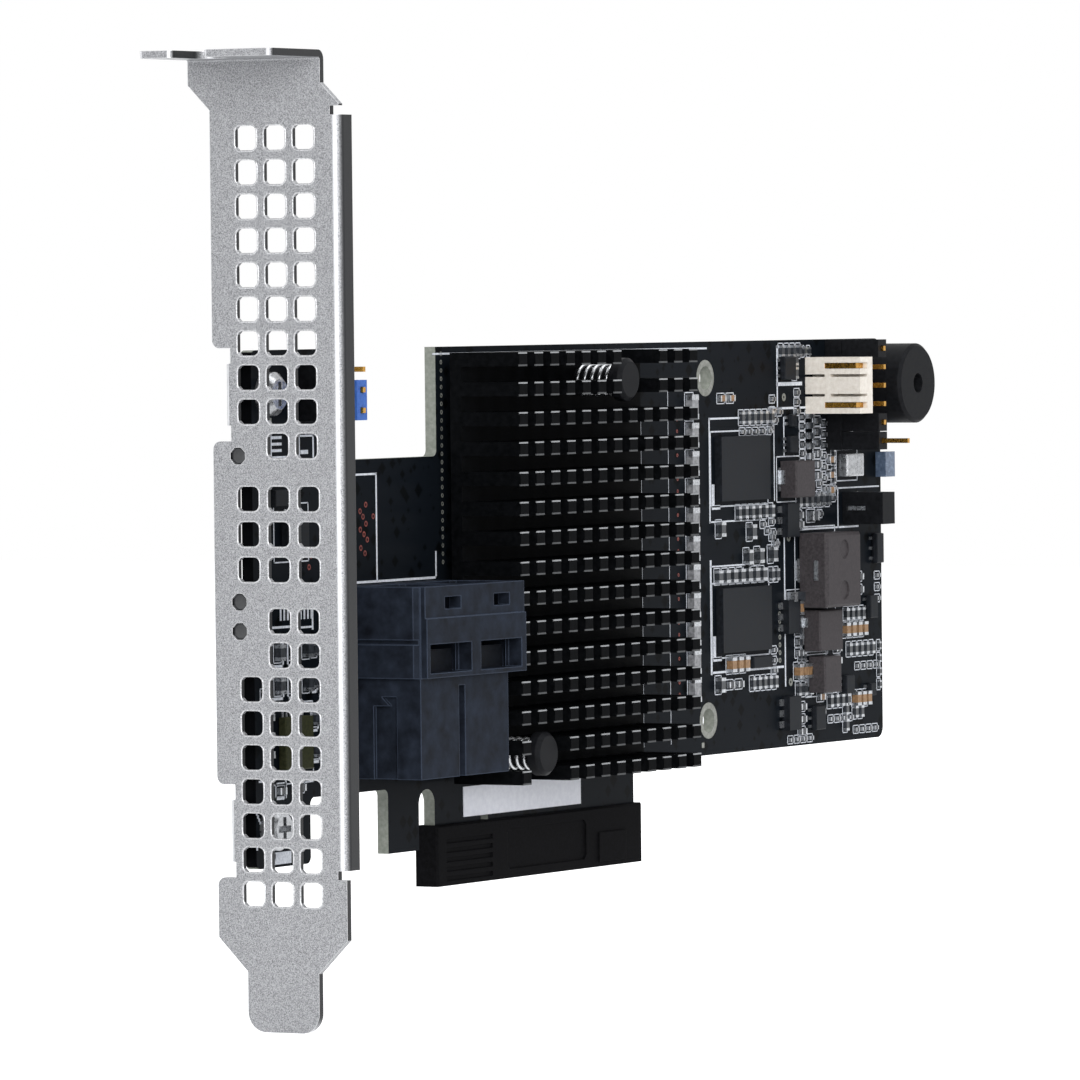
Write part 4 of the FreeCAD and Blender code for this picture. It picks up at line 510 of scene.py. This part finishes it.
ink, tree, shader = finish("white_screen_ink", "d8dce4", 0.6)
mottle(tree, shader, "b9bec8", "e6eaf0", 0.25, 0.5, 0.7)
marks = bmesh.new()
for x0, z0, x1, z1, wide in (
        # dividing lines of the far half
        (61.6, 57.2, 61.6, 43.3, 0.3), (61.6, 43.3, 75.9, 43.3, 0.2),
        (61.7, 38.0, 61.6, 22.9, 0.35), (61.7, 37.3, 71.4, 37.3, 0.2),
        (61.8, 23.0, 82.2, 23.0, 0.3), (82.8, 41.6, 82.8, 20.4, 0.3),
        (82.9, 41.6, 104.7, 41.6, 0.25), (83.0, 57.0, 83.0, 51.9, 0.25),
        (81.2, 66.7, 81.2, 58.4, 0.3), (81.2, 61.6, 88.2, 61.6, 0.5),
        (81.2, 66.7, 88.6, 66.7, 0.35), (61.6, 57.2, 74.0, 57.2, 0.25),
        (80.1, 57.0, 80.1, 45.8, 0.2), (50.1, 62.0, 50.1, 14.0, 0.1),
        (42.6, 58.0, 42.6, 14.0, 0.08), (78.6, 58.3, 89.3, 58.3, 0.3),
        (98.7, 47.0, 111.0, 47.0, 0.2), (98.7, 41.6, 98.7, 47.0, 0.25),
        (97.8, 52.6, 97.8, 48.0, 0.2), (92.2, 46.0, 97.6, 46.0, 0.2),
        # beside the receptacle and the heatsink
        (-40.0, 51.8, -26.3, 51.8, 0.25), (-31.8, 51.8, -31.8, 38.4, 0.2),
        (-26.3, 51.8, -26.3, 38.4, 0.3), (-37.0, 38.3, -11.6, 38.3, 0.3),
        (-11.6, 38.3, -11.6, 41.5, 0.3), (-13.4, 12.9, -11.3, 12.9, 0.25),
        (-13.4, 12.9, -13.4, 13.6, 0.25), (-11.8, 66.7, 61.0, 66.7, 0.25),
        # behind the vents of the bracket
        (-51.5, 57.5, -47.2, 57.5, 0.25), (-47.2, 57.5, -47.2, 54.3, 0.25),
        (-51.5, 54.3, -47.2, 54.3, 0.4), (-51.5, 57.5, -51.5, 54.3, 0.2),
        (-51.2, 56.8, -49.2, 56.8, 0.35), (-51.2, 56.0, -49.2, 56.0, 0.35),
        (-51.2, 55.2, -49.2, 55.2, 0.35), (-44.8, 56.9, -41.5, 56.9, 0.25),
        (-44.8, 56.9, -44.8, 53.9, 0.2), (-41.5, 56.9, -41.5, 53.9, 0.3),
        (-44.3, 54.9, -43.0, 54.9, 0.5), (-43.2, 57.2, -43.2, 58.0, 0.25),
        (-52.0, 33.4, -47.0, 33.4, 0.3), (-45.6, 33.2, -42.4, 33.2, 0.25),
        (-42.1, 36.2, -42.1, 33.0, 0.35), (-55.2, 14.6, -53.8, 14.6, 0.25),
        (-53.8, 14.6, -53.8, 12.6, 0.25), (-48.9, 14.7, -48.9, 12.4, 0.3)):
    ink_line(marks, x0, z0, x1, z1, wide)
for x in (-49.7, -44.9):
    for k in range(4):
        ink_line(marks, x + 0.85 * k, 36.0, x + 0.85 * k, 34.4, 0.38)
for x, z, wide, high in ((-47.3, 30.3, 1.7, 3.4), (-47.3, 26.2, 1.7, 3.2),
                         (-50.6, 30.3, 2.7, 3.4), (-50.6, 26.2, 2.7, 3.2),
                         (-41.9, 26.4, 1.5, 2.6), (-41.9, 21.8, 1.6, 3.0),
                         (-41.7, 17.8, 1.7, 2.8), (-50.2, 13.2, 2.2, 1.8)):
    ink_frame(marks, x, z, wide, high, 0.34)
# Thick corner marks show how the memory is turned; thin frames run round its bodies.
for node in ("memory_upper", "memory_lower"):
    low, high = (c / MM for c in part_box(node))
    x, z = (low.x + high.x) / 2, (low.z + high.z) / 2
    ink_frame(marks, x, z, high.x - low.x + 2.4, high.z - low.z + 1.4, 0.2)
    slab(marks, low.x - 0.95, low.z - 0.5, low.x - 0.2, low.z + 2.3, PRINT_TOP, FRONT)
    slab(marks, low.x - 0.95, low.z - 1.1, low.x + 1.4, low.z - 0.5, PRINT_TOP, FRONT)
for node, more in (("choke_large", 1.6), ("choke_upper", 1.2), ("choke_middle", 1.2),
                   ("choke_lower", 1.2), ("flash_chip", 3.4), ("line_driver", 3.2),
                   ("crystal_can", 1.2)):
    low, high = (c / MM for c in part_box(node))
    ink_frame(marks, (low.x + high.x) / 2, (low.z + high.z) / 2,
              high.x - low.x + more, high.z - low.z + more)
# A crossed box marks where the lower bracket screw may not touch copper.
CROSS_STEPS = 12
for x0, z0, x1, z1 in ((-56.0, 10.9, -52.8, 6.2), (-56.0, 6.2, -52.8, 10.9)):
    for k in range(CROSS_STEPS):
        a, b = k / CROSS_STEPS, (k + 1) / CROSS_STEPS
        slab(marks, x0 + (x1 - x0) * a - 0.06, z0 + (z1 - z0) * a,
             x0 + (x1 - x0) * b + 0.06, z0 + (z1 - z0) * b, PRINT_TOP, FRONT)
slab(marks, -52.9, 4.2, -47.8, 5.7, PRINT_TOP, FRONT)

# -------------------------------------------------------------- vias, pads and rings
# Drilled holes are plated with copper and tinned: a ring on each face of the board.
# Small vias stitch the copper layers together beside the heatsink and the memory.
rings = bmesh.new()
for z in (16.65, 62.7):
    ring(rings, 60.6, z, 2.45, 1.62, PRINT_TOP, FRONT)
    ring(rings, 60.6, z, 2.45, 1.62, BACK, BACK + INK)
for k in range(8):
    ring(rings, 81.25, 23.9 + 1.06 * k, 0.36, 0.17, PRINT_TOP, FRONT, 10)
for k in range(26):
    ring(rings, -9.8, 40.2 + 1.06 * k, 0.3, 0.14, PRINT_TOP, FRONT, 8)
for x, z in ((83.1, 59.8), (87.3, 57.9), (90.1, 66.1), (84.1, 40.6), (104.6, 45.9),
             (67.1, 59.9), (86.9, 64.7), (84.3, 20.8), (101.0, 63.0)):
    ring(rings, x, z, 0.55, 0.2, PRINT_TOP, FRONT, 12)
for x, z in ((-51.7, 58.9), (59.0, 13.4), (-51.9, 5.2)):
    slab(rings, x - 0.35, z - 0.35, x + 0.35, z + 0.35, PRINT_TOP, FRONT)
tinned_copper, tree, shader = finish("matt_tinned_copper", "7f817b", 0.5, metal=0.3)
mottle(tree, shader, "6d6f69", "93958f", 0.5, 0.4, 0.6)
finished_piece("plated_rings", rings, tinned_copper, "tin_plating")

# Rings of bare copper, gone a dull red-brown, mark test points by the receptacle.
copper_red, tree, shader = finish("oxidised_copper", "7c3a34", 0.5, metal=0.4)
mottle(tree, shader, "5e2a26", "8f4a42", 0.3, 0.4, 0.6)
points = bmesh.new()
for x, z in ((-28.9, 48.0), (-30.3, 47.2), (-29.6, 46.5), (-28.9, 45.6), (-27.1, 46.5),
             (-30.3, 44.9), (-29.4, 44.3), (-28.6, 43.6), (-30.2, 42.6), (-29.2, 41.9),
             (-42.7, 47.2), (-43.4, 46.3), (-42.3, 42.0), (-42.8, 40.6)):
    ring(points, x, z, 0.38, 0.2, PRINT_TOP, FRONT, 12)
for k in range(24):
    ring(points, 52.6, 20.5 + 1.6 * k, 0.26, 0.1, PRINT_TOP, FRONT, 8)
finished_piece("test_rings", points, copper_red, "board_laminate")

# ----------------------------------------------------------------------- chip passives
# Resistors and ceramic capacitors, reflowed flat on the board: a small fired block with a
# tinned cap on each end.  Black glass covers the resistors; the capacitors are tan.
# Sizes are length, height off the board and width.
REGULAR = (1.6, 0.5, 0.85)
SMALL = (1.05, 0.4, 0.55)
WIDE = (2.0, 0.9, 1.25)


def run(x, z, count, step_x, step_z, size, turned):
    """Evenly placed chip passives: place, size and whether they stand upright."""
    return [(x + step_x * k, z + step_z * k, size, turned) for k in range(count)]


resistors = (
    # above and around the upper memory
    run(70.6, 57.2, 6, 1.7, 0, REGULAR, True) + run(70.9, 55.3, 5, 1.9, 0, SMALL, False)
    + run(69.4, 44.4, 6, 1.9, 0, REGULAR, True) + run(72.7, 41.7, 1, 0, 0, WIDE, True)
    + run(76.6, 42.6, 4, 1.25, -0.9, SMALL, False)
    + run(63.9, 42.3, 1, 0, 0, WIDE, True) + run(79.0, 55.6, 3, 1.3, 1.1, SMALL, False)
    + run(79.1, 42.9, 3, 0.4, -1.5, SMALL, False)
    # the corner by the cream connector
    + run(82.2, 66.1, 4, 1.7, 0, REGULAR, True)
    + run(86.2, 64.9, 2, 0, -1.8, REGULAR, True)
    + run(86.8, 60.4, 3, 0, -1.3, SMALL, False)
    + run(79.6, 59.6, 2, 0, -1.6, SMALL, False)
    + run(88.6, 66.0, 2, 1.7, 0, SMALL, True)
    # round the upper coil
    + run(88.3, 57.0, 6, 0, -1.25, SMALL, False)
    + run(90.3, 57.2, 7, 0, -1.4, REGULAR, False)
    + run(92.6, 56.4, 6, 0, -1.5, REGULAR, False)
    + run(87.0, 45.6, 6, 1.7, 0, REGULAR, True)
    + run(86.9, 43.6, 2, 0.1, -1.3, REGULAR, False)
    + run(90.6, 43.4, 1, 0, 0, WIDE, False) + run(93.2, 47.8, 4, 0, -1.4, SMALL, False)
    + run(94.6, 56.0, 7, 0, -1.5, SMALL, False)
    + run(90.0, 50.2, 3, 0, -1.3, SMALL, False)
    + run(97.3, 51.8, 4, 0, -1.2, SMALL, True)
    + run(97.2, 47.1, 2, 0, -1.4, SMALL, False)
    # above and below the lower memory
    + run(71.7, 38.3, 2, 3.1, 0.1, WIDE, True) + run(78.7, 38.5, 1, 0, 0, WIDE, True)
    + run(78.7, 35.7, 2, 1.5, 0, REGULAR, True)
    + run(63.4, 35.9, 7, 2.1, 0, (1.7, 0.7, 1.2), True)
    + run(66.6, 21.2, 2, 2.6, 0, REGULAR, False)
    + run(73.0, 21.1, 5, 1.6, 0, REGULAR, True) + run(63.4, 21.3, 1, 0, 0, WIDE, True)
    + run(79.4, 25.4, 3, 0, -1.4, SMALL, False)
    # power stage, column by column
    + run(85.6, 32.5, 1, 0, 0, (4.4, 1.2, 1.3), False)
    + run(86.4, 29.4, 2, 1.5, 0, SMALL, False)
    + run(86.6, 27.7, 3, 0, -1.5, REGULAR, False)
    + run(86.9, 24.2, 2, 1.2, 0, SMALL, True)
    + run(86.3, 19.7, 3, 1.7, 0, REGULAR, True)
    + run(87.3, 17.3, 3, 0, -1.7, REGULAR, False)
    + run(84.0, 12.9, 4, 1.9, 0, SMALL, False)
    + run(95.6, 17.7, 4, 1.7, 0, REGULAR, True)
    + run(95.9, 15.2, 4, 1.9, 0, SMALL, False)
    + run(95.4, 22.6, 3, 0, -1.6, REGULAR, False)
    + run(100.4, 38.8, 4, 0, -1.9, REGULAR, False)
    + run(110.2, 34.6, 3, 0, -1.6, SMALL, False)
    + run(100.6, 29.5, 4, 1.6, 0, REGULAR, True)
    + run(101.4, 24.6, 5, 1.7, 0, REGULAR, True)
    + run(104.0, 22.2, 4, 1.9, 0, SMALL, False)
    + run(97.9, 26.6, 3, 0, -1.7, REGULAR, False)
    + run(103.0, 15.9, 2, 1.7, 0, REGULAR, True)
    + run(103.4, 13.4, 4, 1.9, 0, SMALL, False)
    + run(110.4, 24.8, 4, 0, -1.8, SMALL, True)
    + run(100.2, 14.2, 2, 0, 2.2, REGULAR, True)
    + run(104.6, 34.6, 2, 0, -1.8, REGULAR, False)
    + run(101.6, 56.4, 3, 0, -1.7, REGULAR, False)
    # behind the bracket's vents
    + run(-50.6, 30.3, 2, 0, -4.1, WIDE, True)
    + run(-43.9, 30.5, 2, 0, -4.2, WIDE, True)
    + run(-47.3, 30.3, 2, 0, -4.1, REGULAR, True)
    + run(-41.9, 30.4, 1, 0, 0, REGULAR, True)
    + run(-41.9, 26.4, 1, 0, 0, REGULAR, True)
    + run(-41.9, 21.8, 1, 0, 0, REGULAR, True)
    + run(-41.7, 17.8, 1, 0, 0, REGULAR, True)
    + run(-40.1, 24.0, 4, 0, -2.4, SMALL, True)
    + run(-52.9, 22.4, 3, 0, -2.3, REGULAR, False)
    + run(-50.2, 13.2, 2, 4.6, 0.2, REGULAR, False)
    + run(-54.2, 31.6, 3, 0, -3.2, SMALL, True)
    + run(-43.4, 36.9, 2, 1.6, 0, SMALL, True))
capacitors = (
    run(64.9, 59.9, 2, 2.6, 0, REGULAR, False)
    + run(100.0, 27.4, 4, 1.75, 0, (1.9, 0.9, 1.1), True)
    + run(103.0, 17.7, 3, 1.6, 0, (1.9, 0.9, 1.1), True)
    + run(66.6, 23.9, 3, 1.9, 0, WIDE, True) + run(86.2, 30.9, 1, 0, 0, WIDE, True)
    + run(86.0, 22.2, 3, 1.5, 0, WIDE, True)
    + run(96.3, 51.0, 3, 0, -2.1, REGULAR, False)
    + run(92.9, 18.4, 2, 0, -2.0, REGULAR, False))
# A column of larger, paler capacitors stands between the heatsink and the memory.
pale_capacitors = run(56.0, 58.9, 11, 0, -3.79, (3.3, 1.0, 1.9), True)


def fired_body(tree, given):
    """The fired block of a passive, one unit long, tall and wide."""
    size = add(tree, "ShaderNodeCombineXYZ", {"Y": 1.0, "Z": 0.94}, {"X": given["Body"]})
    return add(tree, "GeometryNodeMeshCube", links={
        "Size": size.outputs["Vector"]}).outputs["Mesh"]


def tinned_ends(tree, given):
    """The two tinned caps of a passive, a little proud of its block."""
    size = add(tree, "ShaderNodeCombineXYZ", {"Y": 1.06, "Z": 1.0}, {"X": given["Cap"]})
    both = add(tree, "GeometryNodeJoinGeometry")
    for way in (-0.39, 0.39):
        cap = add(tree, "GeometryNodeMeshCube", links={"Size": size.outputs["Vector"]})
        moved = add(tree, "GeometryNodeTransform", {"Translation": (way, 0.0, 0.0)},
                    {"Geometry": cap.outputs["Mesh"]})
        tree.links.new(moved.outputs["Geometry"], both.inputs["Geometry"])
    return both.outputs["Geometry"]


def passives(name, group, unit, sizes, material, slot, *stands_for, behind=False):
    """A piece of passives on one side of the board, in millimetres."""
    places = [(x, BACK + size[1] / 2 if behind else FRONT - size[1] / 2, z)
              for x, z, size, turned in group]
    on_places(name, places, unit, sizes, material, slot, *stands_for,
              spans=[p[2] for p in group],
              turns=[math.pi / 2 if p[3] else 0.0 for p in group])


def outlines(group, gap, line, surface=None):
    """A printed outline round each passive of a group."""
    for x, z, (long, tall, wide), turned in group:
        if turned:
            long, wide = wide, long
        ink_frame(marks, x, z, long + gap, wide + gap, line, surface)


glaze, tree, shader = finish("black_glass_glaze", "2a2d31", 0.35)
mottle(tree, shader, "1d2023", "3b3f45", 0.3, 0.28, 0.45)
ceramic, tree, shader = finish("fired_ceramic", "8a6a4a", 0.55)
mottle(tree, shader, "785a3d", "9a7a58", 0.5, 0.48, 0.62)
passives("resistor_bodies", resistors, fired_body, {"Body": 0.72}, glaze, "chip_epoxy")
passives("capacitor_bodies", capacitors, fired_body, {"Body": 0.72}, ceramic,
         "ceramic_body", "ceramic_capacitors")
pale, tree, shader = finish("pale_fired_ceramic", "808184", 0.5)
mottle(tree, shader, "6a6b6e", "a2a3a6", 0.5, 0.42, 0.58)
passives("pale_capacitor_bodies", pale_capacitors, fired_body, {"Body": 0.72}, pale,
         "ceramic_body")
every_passive = resistors + capacitors + pale_capacitors
passives("passive_ends", every_passive, tinned_ends, {"Cap": 0.22}, tin, "tin_plating")
outlines(every_passive, 0.55, 0.13)

# The far side carries small parts too: a field of them under the controller, a row at
# the edge contacts, and a few behind the memory, the power stage and the receptacle.
far_parts = (
    [spot for k in range(5) for spot in run(3.0, 31.0 + 4.1 * k, 6, 4.0, 0, SMALL, k % 2)]
    + run(-8.0, 9.6, 20, 2.3, 0, SMALL, True) + run(-34.0, 30.6, 8, 2.4, 0, SMALL, True)
    + run(65.0, 52.4, 4, 3.4, 0, REGULAR, True)
    + run(65.0, 32.4, 4, 3.4, 0, REGULAR, True)
    + run(65.0, 48.2, 4, 3.4, 0, REGULAR, True)
    + run(65.0, 28.2, 4, 3.4, 0, REGULAR, True)
    + run(84.0, 37.0, 4, 0, -2.6, WIDE, False) + run(88.5, 37.0, 4, 0, -2.6, WIDE, False)
    + run(93.0, 20.0, 6, 2.4, 0, REGULAR, True)
    + run(99.0, 49.5, 4, 2.4, 0, REGULAR, True)
    + run(-49.0, 44.0, 4, 0, -3.0, REGULAR, False)
    + run(-20.0, 40.5, 5, 2.6, 0, SMALL, True)
    + run(35.0, 60.0, 5, 2.8, 0, REGULAR, True) + run(44.0, 30.0, 4, 0, -3.1, WIDE, True))
passives("far_passive_bodies", far_parts, fired_body, {"Body": 0.72}, ceramic,
         "ceramic_body", behind=True)
passives("far_passive_ends", far_parts, tinned_ends, {"Cap": 0.22}, tin, "tin_plating",
         behind=True)
far_print = (BACK, BACK + INK)
outlines(far_parts, 0.6, 0.14, far_print)
for x, z, wide, high in ((70.0, 50.3, 15.4, 10.6), (70.0, 30.3, 15.4, 10.6),
                         (13.0, 39.4, 28.0, 26.0), (-24.0, 21.3, 24.0, 15.0),
                         (-43.4, 62.6, 3.4, 8.4), (96.6, 60.0, 3.2, 14.6)):
    ink_frame(marks, x, z, wide, high, 0.25, far_print)
finished_piece("printed_marks", marks, ink, "label_paper")
# Vias are scattered over the far side, with a close row along the card's upper edge.
stitching = bmesh.new()
scatter = random.Random(11)
for k in range(260):
    x, z = scatter.uniform(-44, 106), scatter.uniform(14.5, 46)
    ring(stitching, x, z, 0.3, 0.14, *far_print, 8)
for k in range(60):
    ring(stitching, 64.5 + 0.72 * k, 65.4, 0.26, 0.12, *far_print, 8)
finished_piece("far_side_vias", stitching, tinned_copper, "tin_plating")

# ------------------------------------------------------------------------ small chips
# Switching transistors and regulators in black moulded epoxy, each a few millimetres
# wide, with drafted sides and tinned feet under their edges.
epoxy, tree, shader = finish("moulded_epoxy", "191b1f", 0.5, mirror=0.08)
mottle(tree, shader, "141619", "202328", 0.5, 0.42, 0.58, bump=0.2, edge_mm=0.1)


def moulding(bm, x, z, long, high, tall, lift=0.0, draft=0.12):
    """A block with drafted sides and a narrowed top edge, standing on the board."""
    rows = []
    for inset, level in ((draft, 0.0), (0.0, 0.4), (draft * 0.6, 0.9),
                         (draft * 1.5, 1.0)):
        y = FRONT - lift - tall * level
        a, c = long / 2 - inset, high / 2 - inset
        rows.append([bm.verts.new(Vector((x + i, y, z + k)) * MM)
                     for i, k in ((-a, -c), (a, -c), (a, c), (-a, c))])
    loft(bm, rows)


bodies = bmesh.new()
feet = bmesh.new()
for x, z, long, high, tall, count in (
        (83.4, 63.8, 3.4, 3.2, 0.9, 3), (84.6, 56.6, 1.6, 1.7, 0.8, 2),
        (84.6, 53.3, 2.6, 2.4, 0.8, 3), (74.9, 24.0, 5.6, 1.7, 0.8, 0),
        (91.4, 15.6, 3.0, 3.4, 0.9, 3), (107.6, 30.3, 2.4, 3.2, 0.9, 3),
        (100.3, 19.8, 2.6, 2.6, 0.9, 3), (109.6, 38.4, 2.2, 4.2, 0.9, 3),
        (101.3, 59.6, 2.6, 2.6, 0.9, 3),
        (-50.6, 49.3, 3.2, 2.2, 0.9, 3), (107.4, 18.8, 1.8, 1.8, 0.8, 2)):
    moulding(bodies, x, z, long, high, tall, 0.08)
    for k in range(count):
        foot = z - high / 2 + high * (k + 0.5) / count
        for way in (-1, 1):
            slab(feet, x + way * (long / 2 - 0.1), foot - 0.2,
                 x + way * (long / 2 + 0.55), foot + 0.2, FRONT, FRONT - 0.18)
# The tall transistors on the frame have three feet on one side and a tab on the other.
for z in (43.0, 16.6, 29.8):
    for k in (-1.5, 0.0, 1.5):
        slab(feet, 81.0, z + k - 0.45, 81.8, z + k + 0.45, FRONT, FRONT - 0.3)
    slab(feet, 85.1, z - 1.6, 85.8, z + 1.6, FRONT, FRONT - 0.3)
finished_piece("small_chips", bodies, epoxy, "chip_epoxy")
finished_piece("small_chip_feet", feet, tin, "tin_plating")

# Tinned copper straps come out of the coils' near sides and fold down to the board.
straps = bmesh.new()
for x, z, high, near, far in ((86.65, 36.0, 2.7, 2.6, 3.2), (87.85, 28.8, 1.3, 0.0, 0.9),
                              (81.35, 48.9, 1.9, 0.0, 1.0), (89.15, 21.8, 1.2, 0.0, 0.9)):
    slab(straps, x - 0.16, z - high / 2, x + 0.02, z + high / 2,
         FRONT - near, FRONT - far)
    slab(straps, x - 0.6, z - high / 2, x - 0.1, z + high / 2, FRONT, FRONT - 0.25)
finished_piece("coil_straps", straps, tin, "tin_plating")

# ----------------------------------------------------------------------- solder joints
# Through-hole pins end in cones of reflowed solder on the far side of the board, each
# with the cut end of its pin standing out of the cone.
PIN_PITCH = 2.54
CONE_SIDES = 14
joints = ([(96.55, 53.6 + PIN_PITCH * k) for k in range(6)]
          + [(-43.35, 60.02 + PIN_PITCH * k) for k in range(3)]
          + [(91.25, 58.6 + 2.7 * k) for k in range(3)]
          + [(101.85, 42.93), (101.85, 45.47), (105.8, 58.15), (105.8, 64.65)]
          + [(x, z) for x in (-30.2, -17.6) for z in (16.0, 26.6)])
cones = bmesh.new()
for x, z in joints:
    for outer, inner, near, far in ((0.85, 0.32, BACK, BACK + 0.62),
                                    (0.32, 0.24, BACK + 0.6, BACK + 1.1)):
        loft(cones, [circle(cones, x, near, z, outer, CONE_SIDES),
                     circle(cones, x, far, z, inner, CONE_SIDES)])
finished_piece("solder_cones", cones, tin, "tin_plating", "solder_joints")

# ---------------------------------------------------------------------------- heatsink
# An aluminium extrusion cut into pins and black anodised: satin.
# A painted highlight in pale grey runs along the upper edge of each pin's tip, fainter
# along the lower edge.
anodised, tree, shader = finish("black_anodised_aluminium", "0b0c0e", 0.4, mirror=0.01)
mottle(tree, shader, "060708", "0f1012", 0.8, 0.36, 0.5, bump=0.1)
FIN_PITCH = 3.79 * MM
sink_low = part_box("heatsink")[0]
place = add(tree, "ShaderNodeTexCoord")
axis = add(tree, "ShaderNodeSeparateXYZ", links={0: place.outputs["Object"]})
up = add(tree, "ShaderNodeMath", {"operation": "SUBTRACT", 1: sink_low.z},
         {0: axis.outputs["Z"]})
row = add(tree, "ShaderNodeMath", {"operation": "MODULO", 1: FIN_PITCH},
          {0: up.outputs[0]})
upper = add(tree, "ShaderNodeMath", {"operation": "GREATER_THAN", 1: 1.58 * MM},
            {0: row.outputs[0]})
lower = add(tree, "ShaderNodeMath", {"operation": "LESS_THAN", 1: 0.22 * MM},
            {0: row.outputs[0]})
faint = add(tree, "ShaderNodeMath", {"operation": "MULTIPLY", 1: 0.3},
            {0: lower.outputs[0]})
both = add(tree, "ShaderNodeMath", {"operation": "MAXIMUM"},
           {0: upper.outputs[0], 1: faint.outputs[0]})
tip = add(tree, "ShaderNodeMath", {"operation": "LESS_THAN",
                                   1: sink_low.y + 0.16 * MM}, {0: axis.outputs["Y"]})
edge_highlight = add(tree, "ShaderNodeMath", {"operation": "MULTIPLY"},
           {0: both.outputs[0], 1: tip.outputs[0]})
coat = shader.inputs["Base Color"].links[0].from_socket
# Painted highlight: the tip edges are mixed towards pale grey.
painted_tip_highlight = add(tree, "ShaderNodeMix", {"data_type": "RGBA", 7: srgb("9a9c9e")},
           {0: edge_highlight.outputs[0], 6: coat})
tree.links.new(painted_tip_highlight.outputs[2], shader.inputs["Base Color"])
dress("heatsink", anodised)

# Push pins, header bases, caps and the buzzer are moulded in finely grained nylon.
nylon, tree, shader = finish("black_moulded_nylon", "141517", 0.5, mirror=0.06)
mottle(tree, shader, "101113", "1b1c1f", 0.6, 0.42, 0.58, bump=0.15, edge_mm=0.15)
for node in ("push_pins", "far_header_base", "far_header_caps", "near_header_base",
             "small_plug", "buzzer"):
    dress(node, nylon)
# A coil of drawn steel wire under its cap holds each push pin out.
wire, tree, shader = finish("drawn_spring_steel", "b9bbbe", 0.28, metal=0.9)
mottle(tree, shader, "9fa1a4", "cfd1d4", 0.3, 0.2, 0.34)


def coiled_wire(tree, given):
    """A spring of even turns that rises away from the heatsink."""
    coil = add(tree, "GeometryNodeCurveSpiral", {"Resolution": 24}, {
        "Rotations": given["Turns"], "Start Radius": given["Coil"],
        "End Radius": given["Coil"], "Height": given["Rise"]})
    upright = add(tree, "GeometryNodeTransform", {"Rotation": (math.pi / 2, 0, 0)},
                  {"Geometry": coil.outputs["Curve"]})
    return swept(tree, upright.outputs["Geometry"], given["Wire"], 8)


on_places("coil_springs", [(19.6, -4.66, 63.0), (-2.9, -4.66, 15.6)], coiled_wire,
          {"Turns": 5.0, "Coil": 1.9 * MM, "Rise": 5.4 * MM, "Wire": 0.25 * MM}, wire,
          "spring_steel", "push_pin_springs")

# Larger mouldings keep the epoxy of the small chips: matt charcoal, faintly grained.
for node in ("memory_upper", "memory_lower", "line_driver", "power_switches",
             "controller_chip"):
    dress(node, epoxy)
olive, tree, shader = finish("olive_moulding_epoxy", "26281c", 0.5, mirror=0.1)
mottle(tree, shader, "26281a", "3b3d29", 0.4, 0.45, 0.6)
dress("flash_chip", olive)
substrate, tree, shader = finish("package_laminate", "2f3a2e", 0.5)
mottle(tree, shader, "28322a", "38443a", 0.6, 0.4, 0.6)
dress("controller_substrate", substrate)
gap_filler, tree, shader = finish("silicone_gap_filler", "8a8d90", 0.8)
mottle(tree, shader, "7c7f82", "979a9d", 0.4, 0.7, 0.85, bump=0.2)
dress("thermal_pad", gap_filler)

# -------------------------------------------------------------------------- receptacle
# The twin cable receptacle is moulded in dark glass-filled plastic with a blue cast,
# cloudy where glass fibres reach the surface, and paler along its edges as a painted
# highlight.
glass_nylon, tree, shader = finish("glass_filled_nylon", "2b303a", 0.5, mirror=0.03)
mottle(tree, shader, "13161c", "282e39", 2.6, 0.42, 0.58, bump=0.3, edge_mm=0.22,
       detail=8.0, edge_highlight="454e5e")
dress("sas_receptacle", glass_nylon)
inner, tree, shader = finish("port_tongue_plastic", "14161b", 0.5, mirror=0.05)
mottle(tree, shader, "0f1115", "1b1e24", 0.8, 0.45, 0.6)
dress("port_inserts", inner)

# -------------------------------------------------------------------------- edge cover
# A soft-moulded cover keeps the gold contacts clean: matt black with a fine grain.
cover_plastic, tree, shader = finish("grained_black_plastic", "101011", 0.55, mirror=0.01)
mottle(tree, shader, "0c0c0d", "161618", 0.4, 0.48, 0.62, bump=0.3, edge_mm=0.15)
dress("edge_cover", cover_plastic)

# ------------------------------------------------------------------------ other pieces
# Coils are pressed from iron powder: dull brown-grey blocks with a coarse grain.
ferrite, tree, shader = finish("pressed_iron_powder", "3a3738", 0.6, mirror=0.15)
mottle(tree, shader, "312e30", "464244", 0.35, 0.5, 0.7, bump=0.4, edge_mm=0.2)
for node in ("choke_large", "choke_upper", "choke_middle", "choke_lower"):
    dress(node, ferrite)
# Coloured mouldings: a blue jumper cap, pushed on its pins by hand, and the upright
# connector in uncoloured cream nylon.  Both are smooth and a little cloudy.
blue, tree, shader = finish("blue_moulded_plastic", "3f62a8", 0.4, mirror=0.15)
mottle(tree, shader, "3058a4", "426cba", 0.5, 0.34, 0.46, edge_mm=0.12)
dress("near_jumper_cap", blue)
cream, tree, shader = finish("cream_moulded_nylon", "cfc8bd", 0.45)
mottle(tree, shader, "dcd4c8", "efe9e0", 0.6, 0.38, 0.52, edge_mm=0.12)
dress("tower_connector", cream)
# The status lamp is cast in tinted epoxy; the crystal is sealed in a plated steel can.
lens, tree, shader = finish("clear_epoxy_lens", "5a6a80", 0.25)
mottle(tree, shader, "4c5a70", "6d7f98", 0.6, 0.2, 0.3, edge_mm=0.1)
dress("status_lamp", lens)
dress("crystal_can", plated)
# The label is coated paper, stuck above the edge section and left bare.
label, tree, shader = finish("coated_label_paper", "e6e8f0", 0.5)
mottle(tree, shader, "dfe1ea", "eceef5", 0.8, 0.44, 0.56, bump=0.05)
dress("paper_label", label)
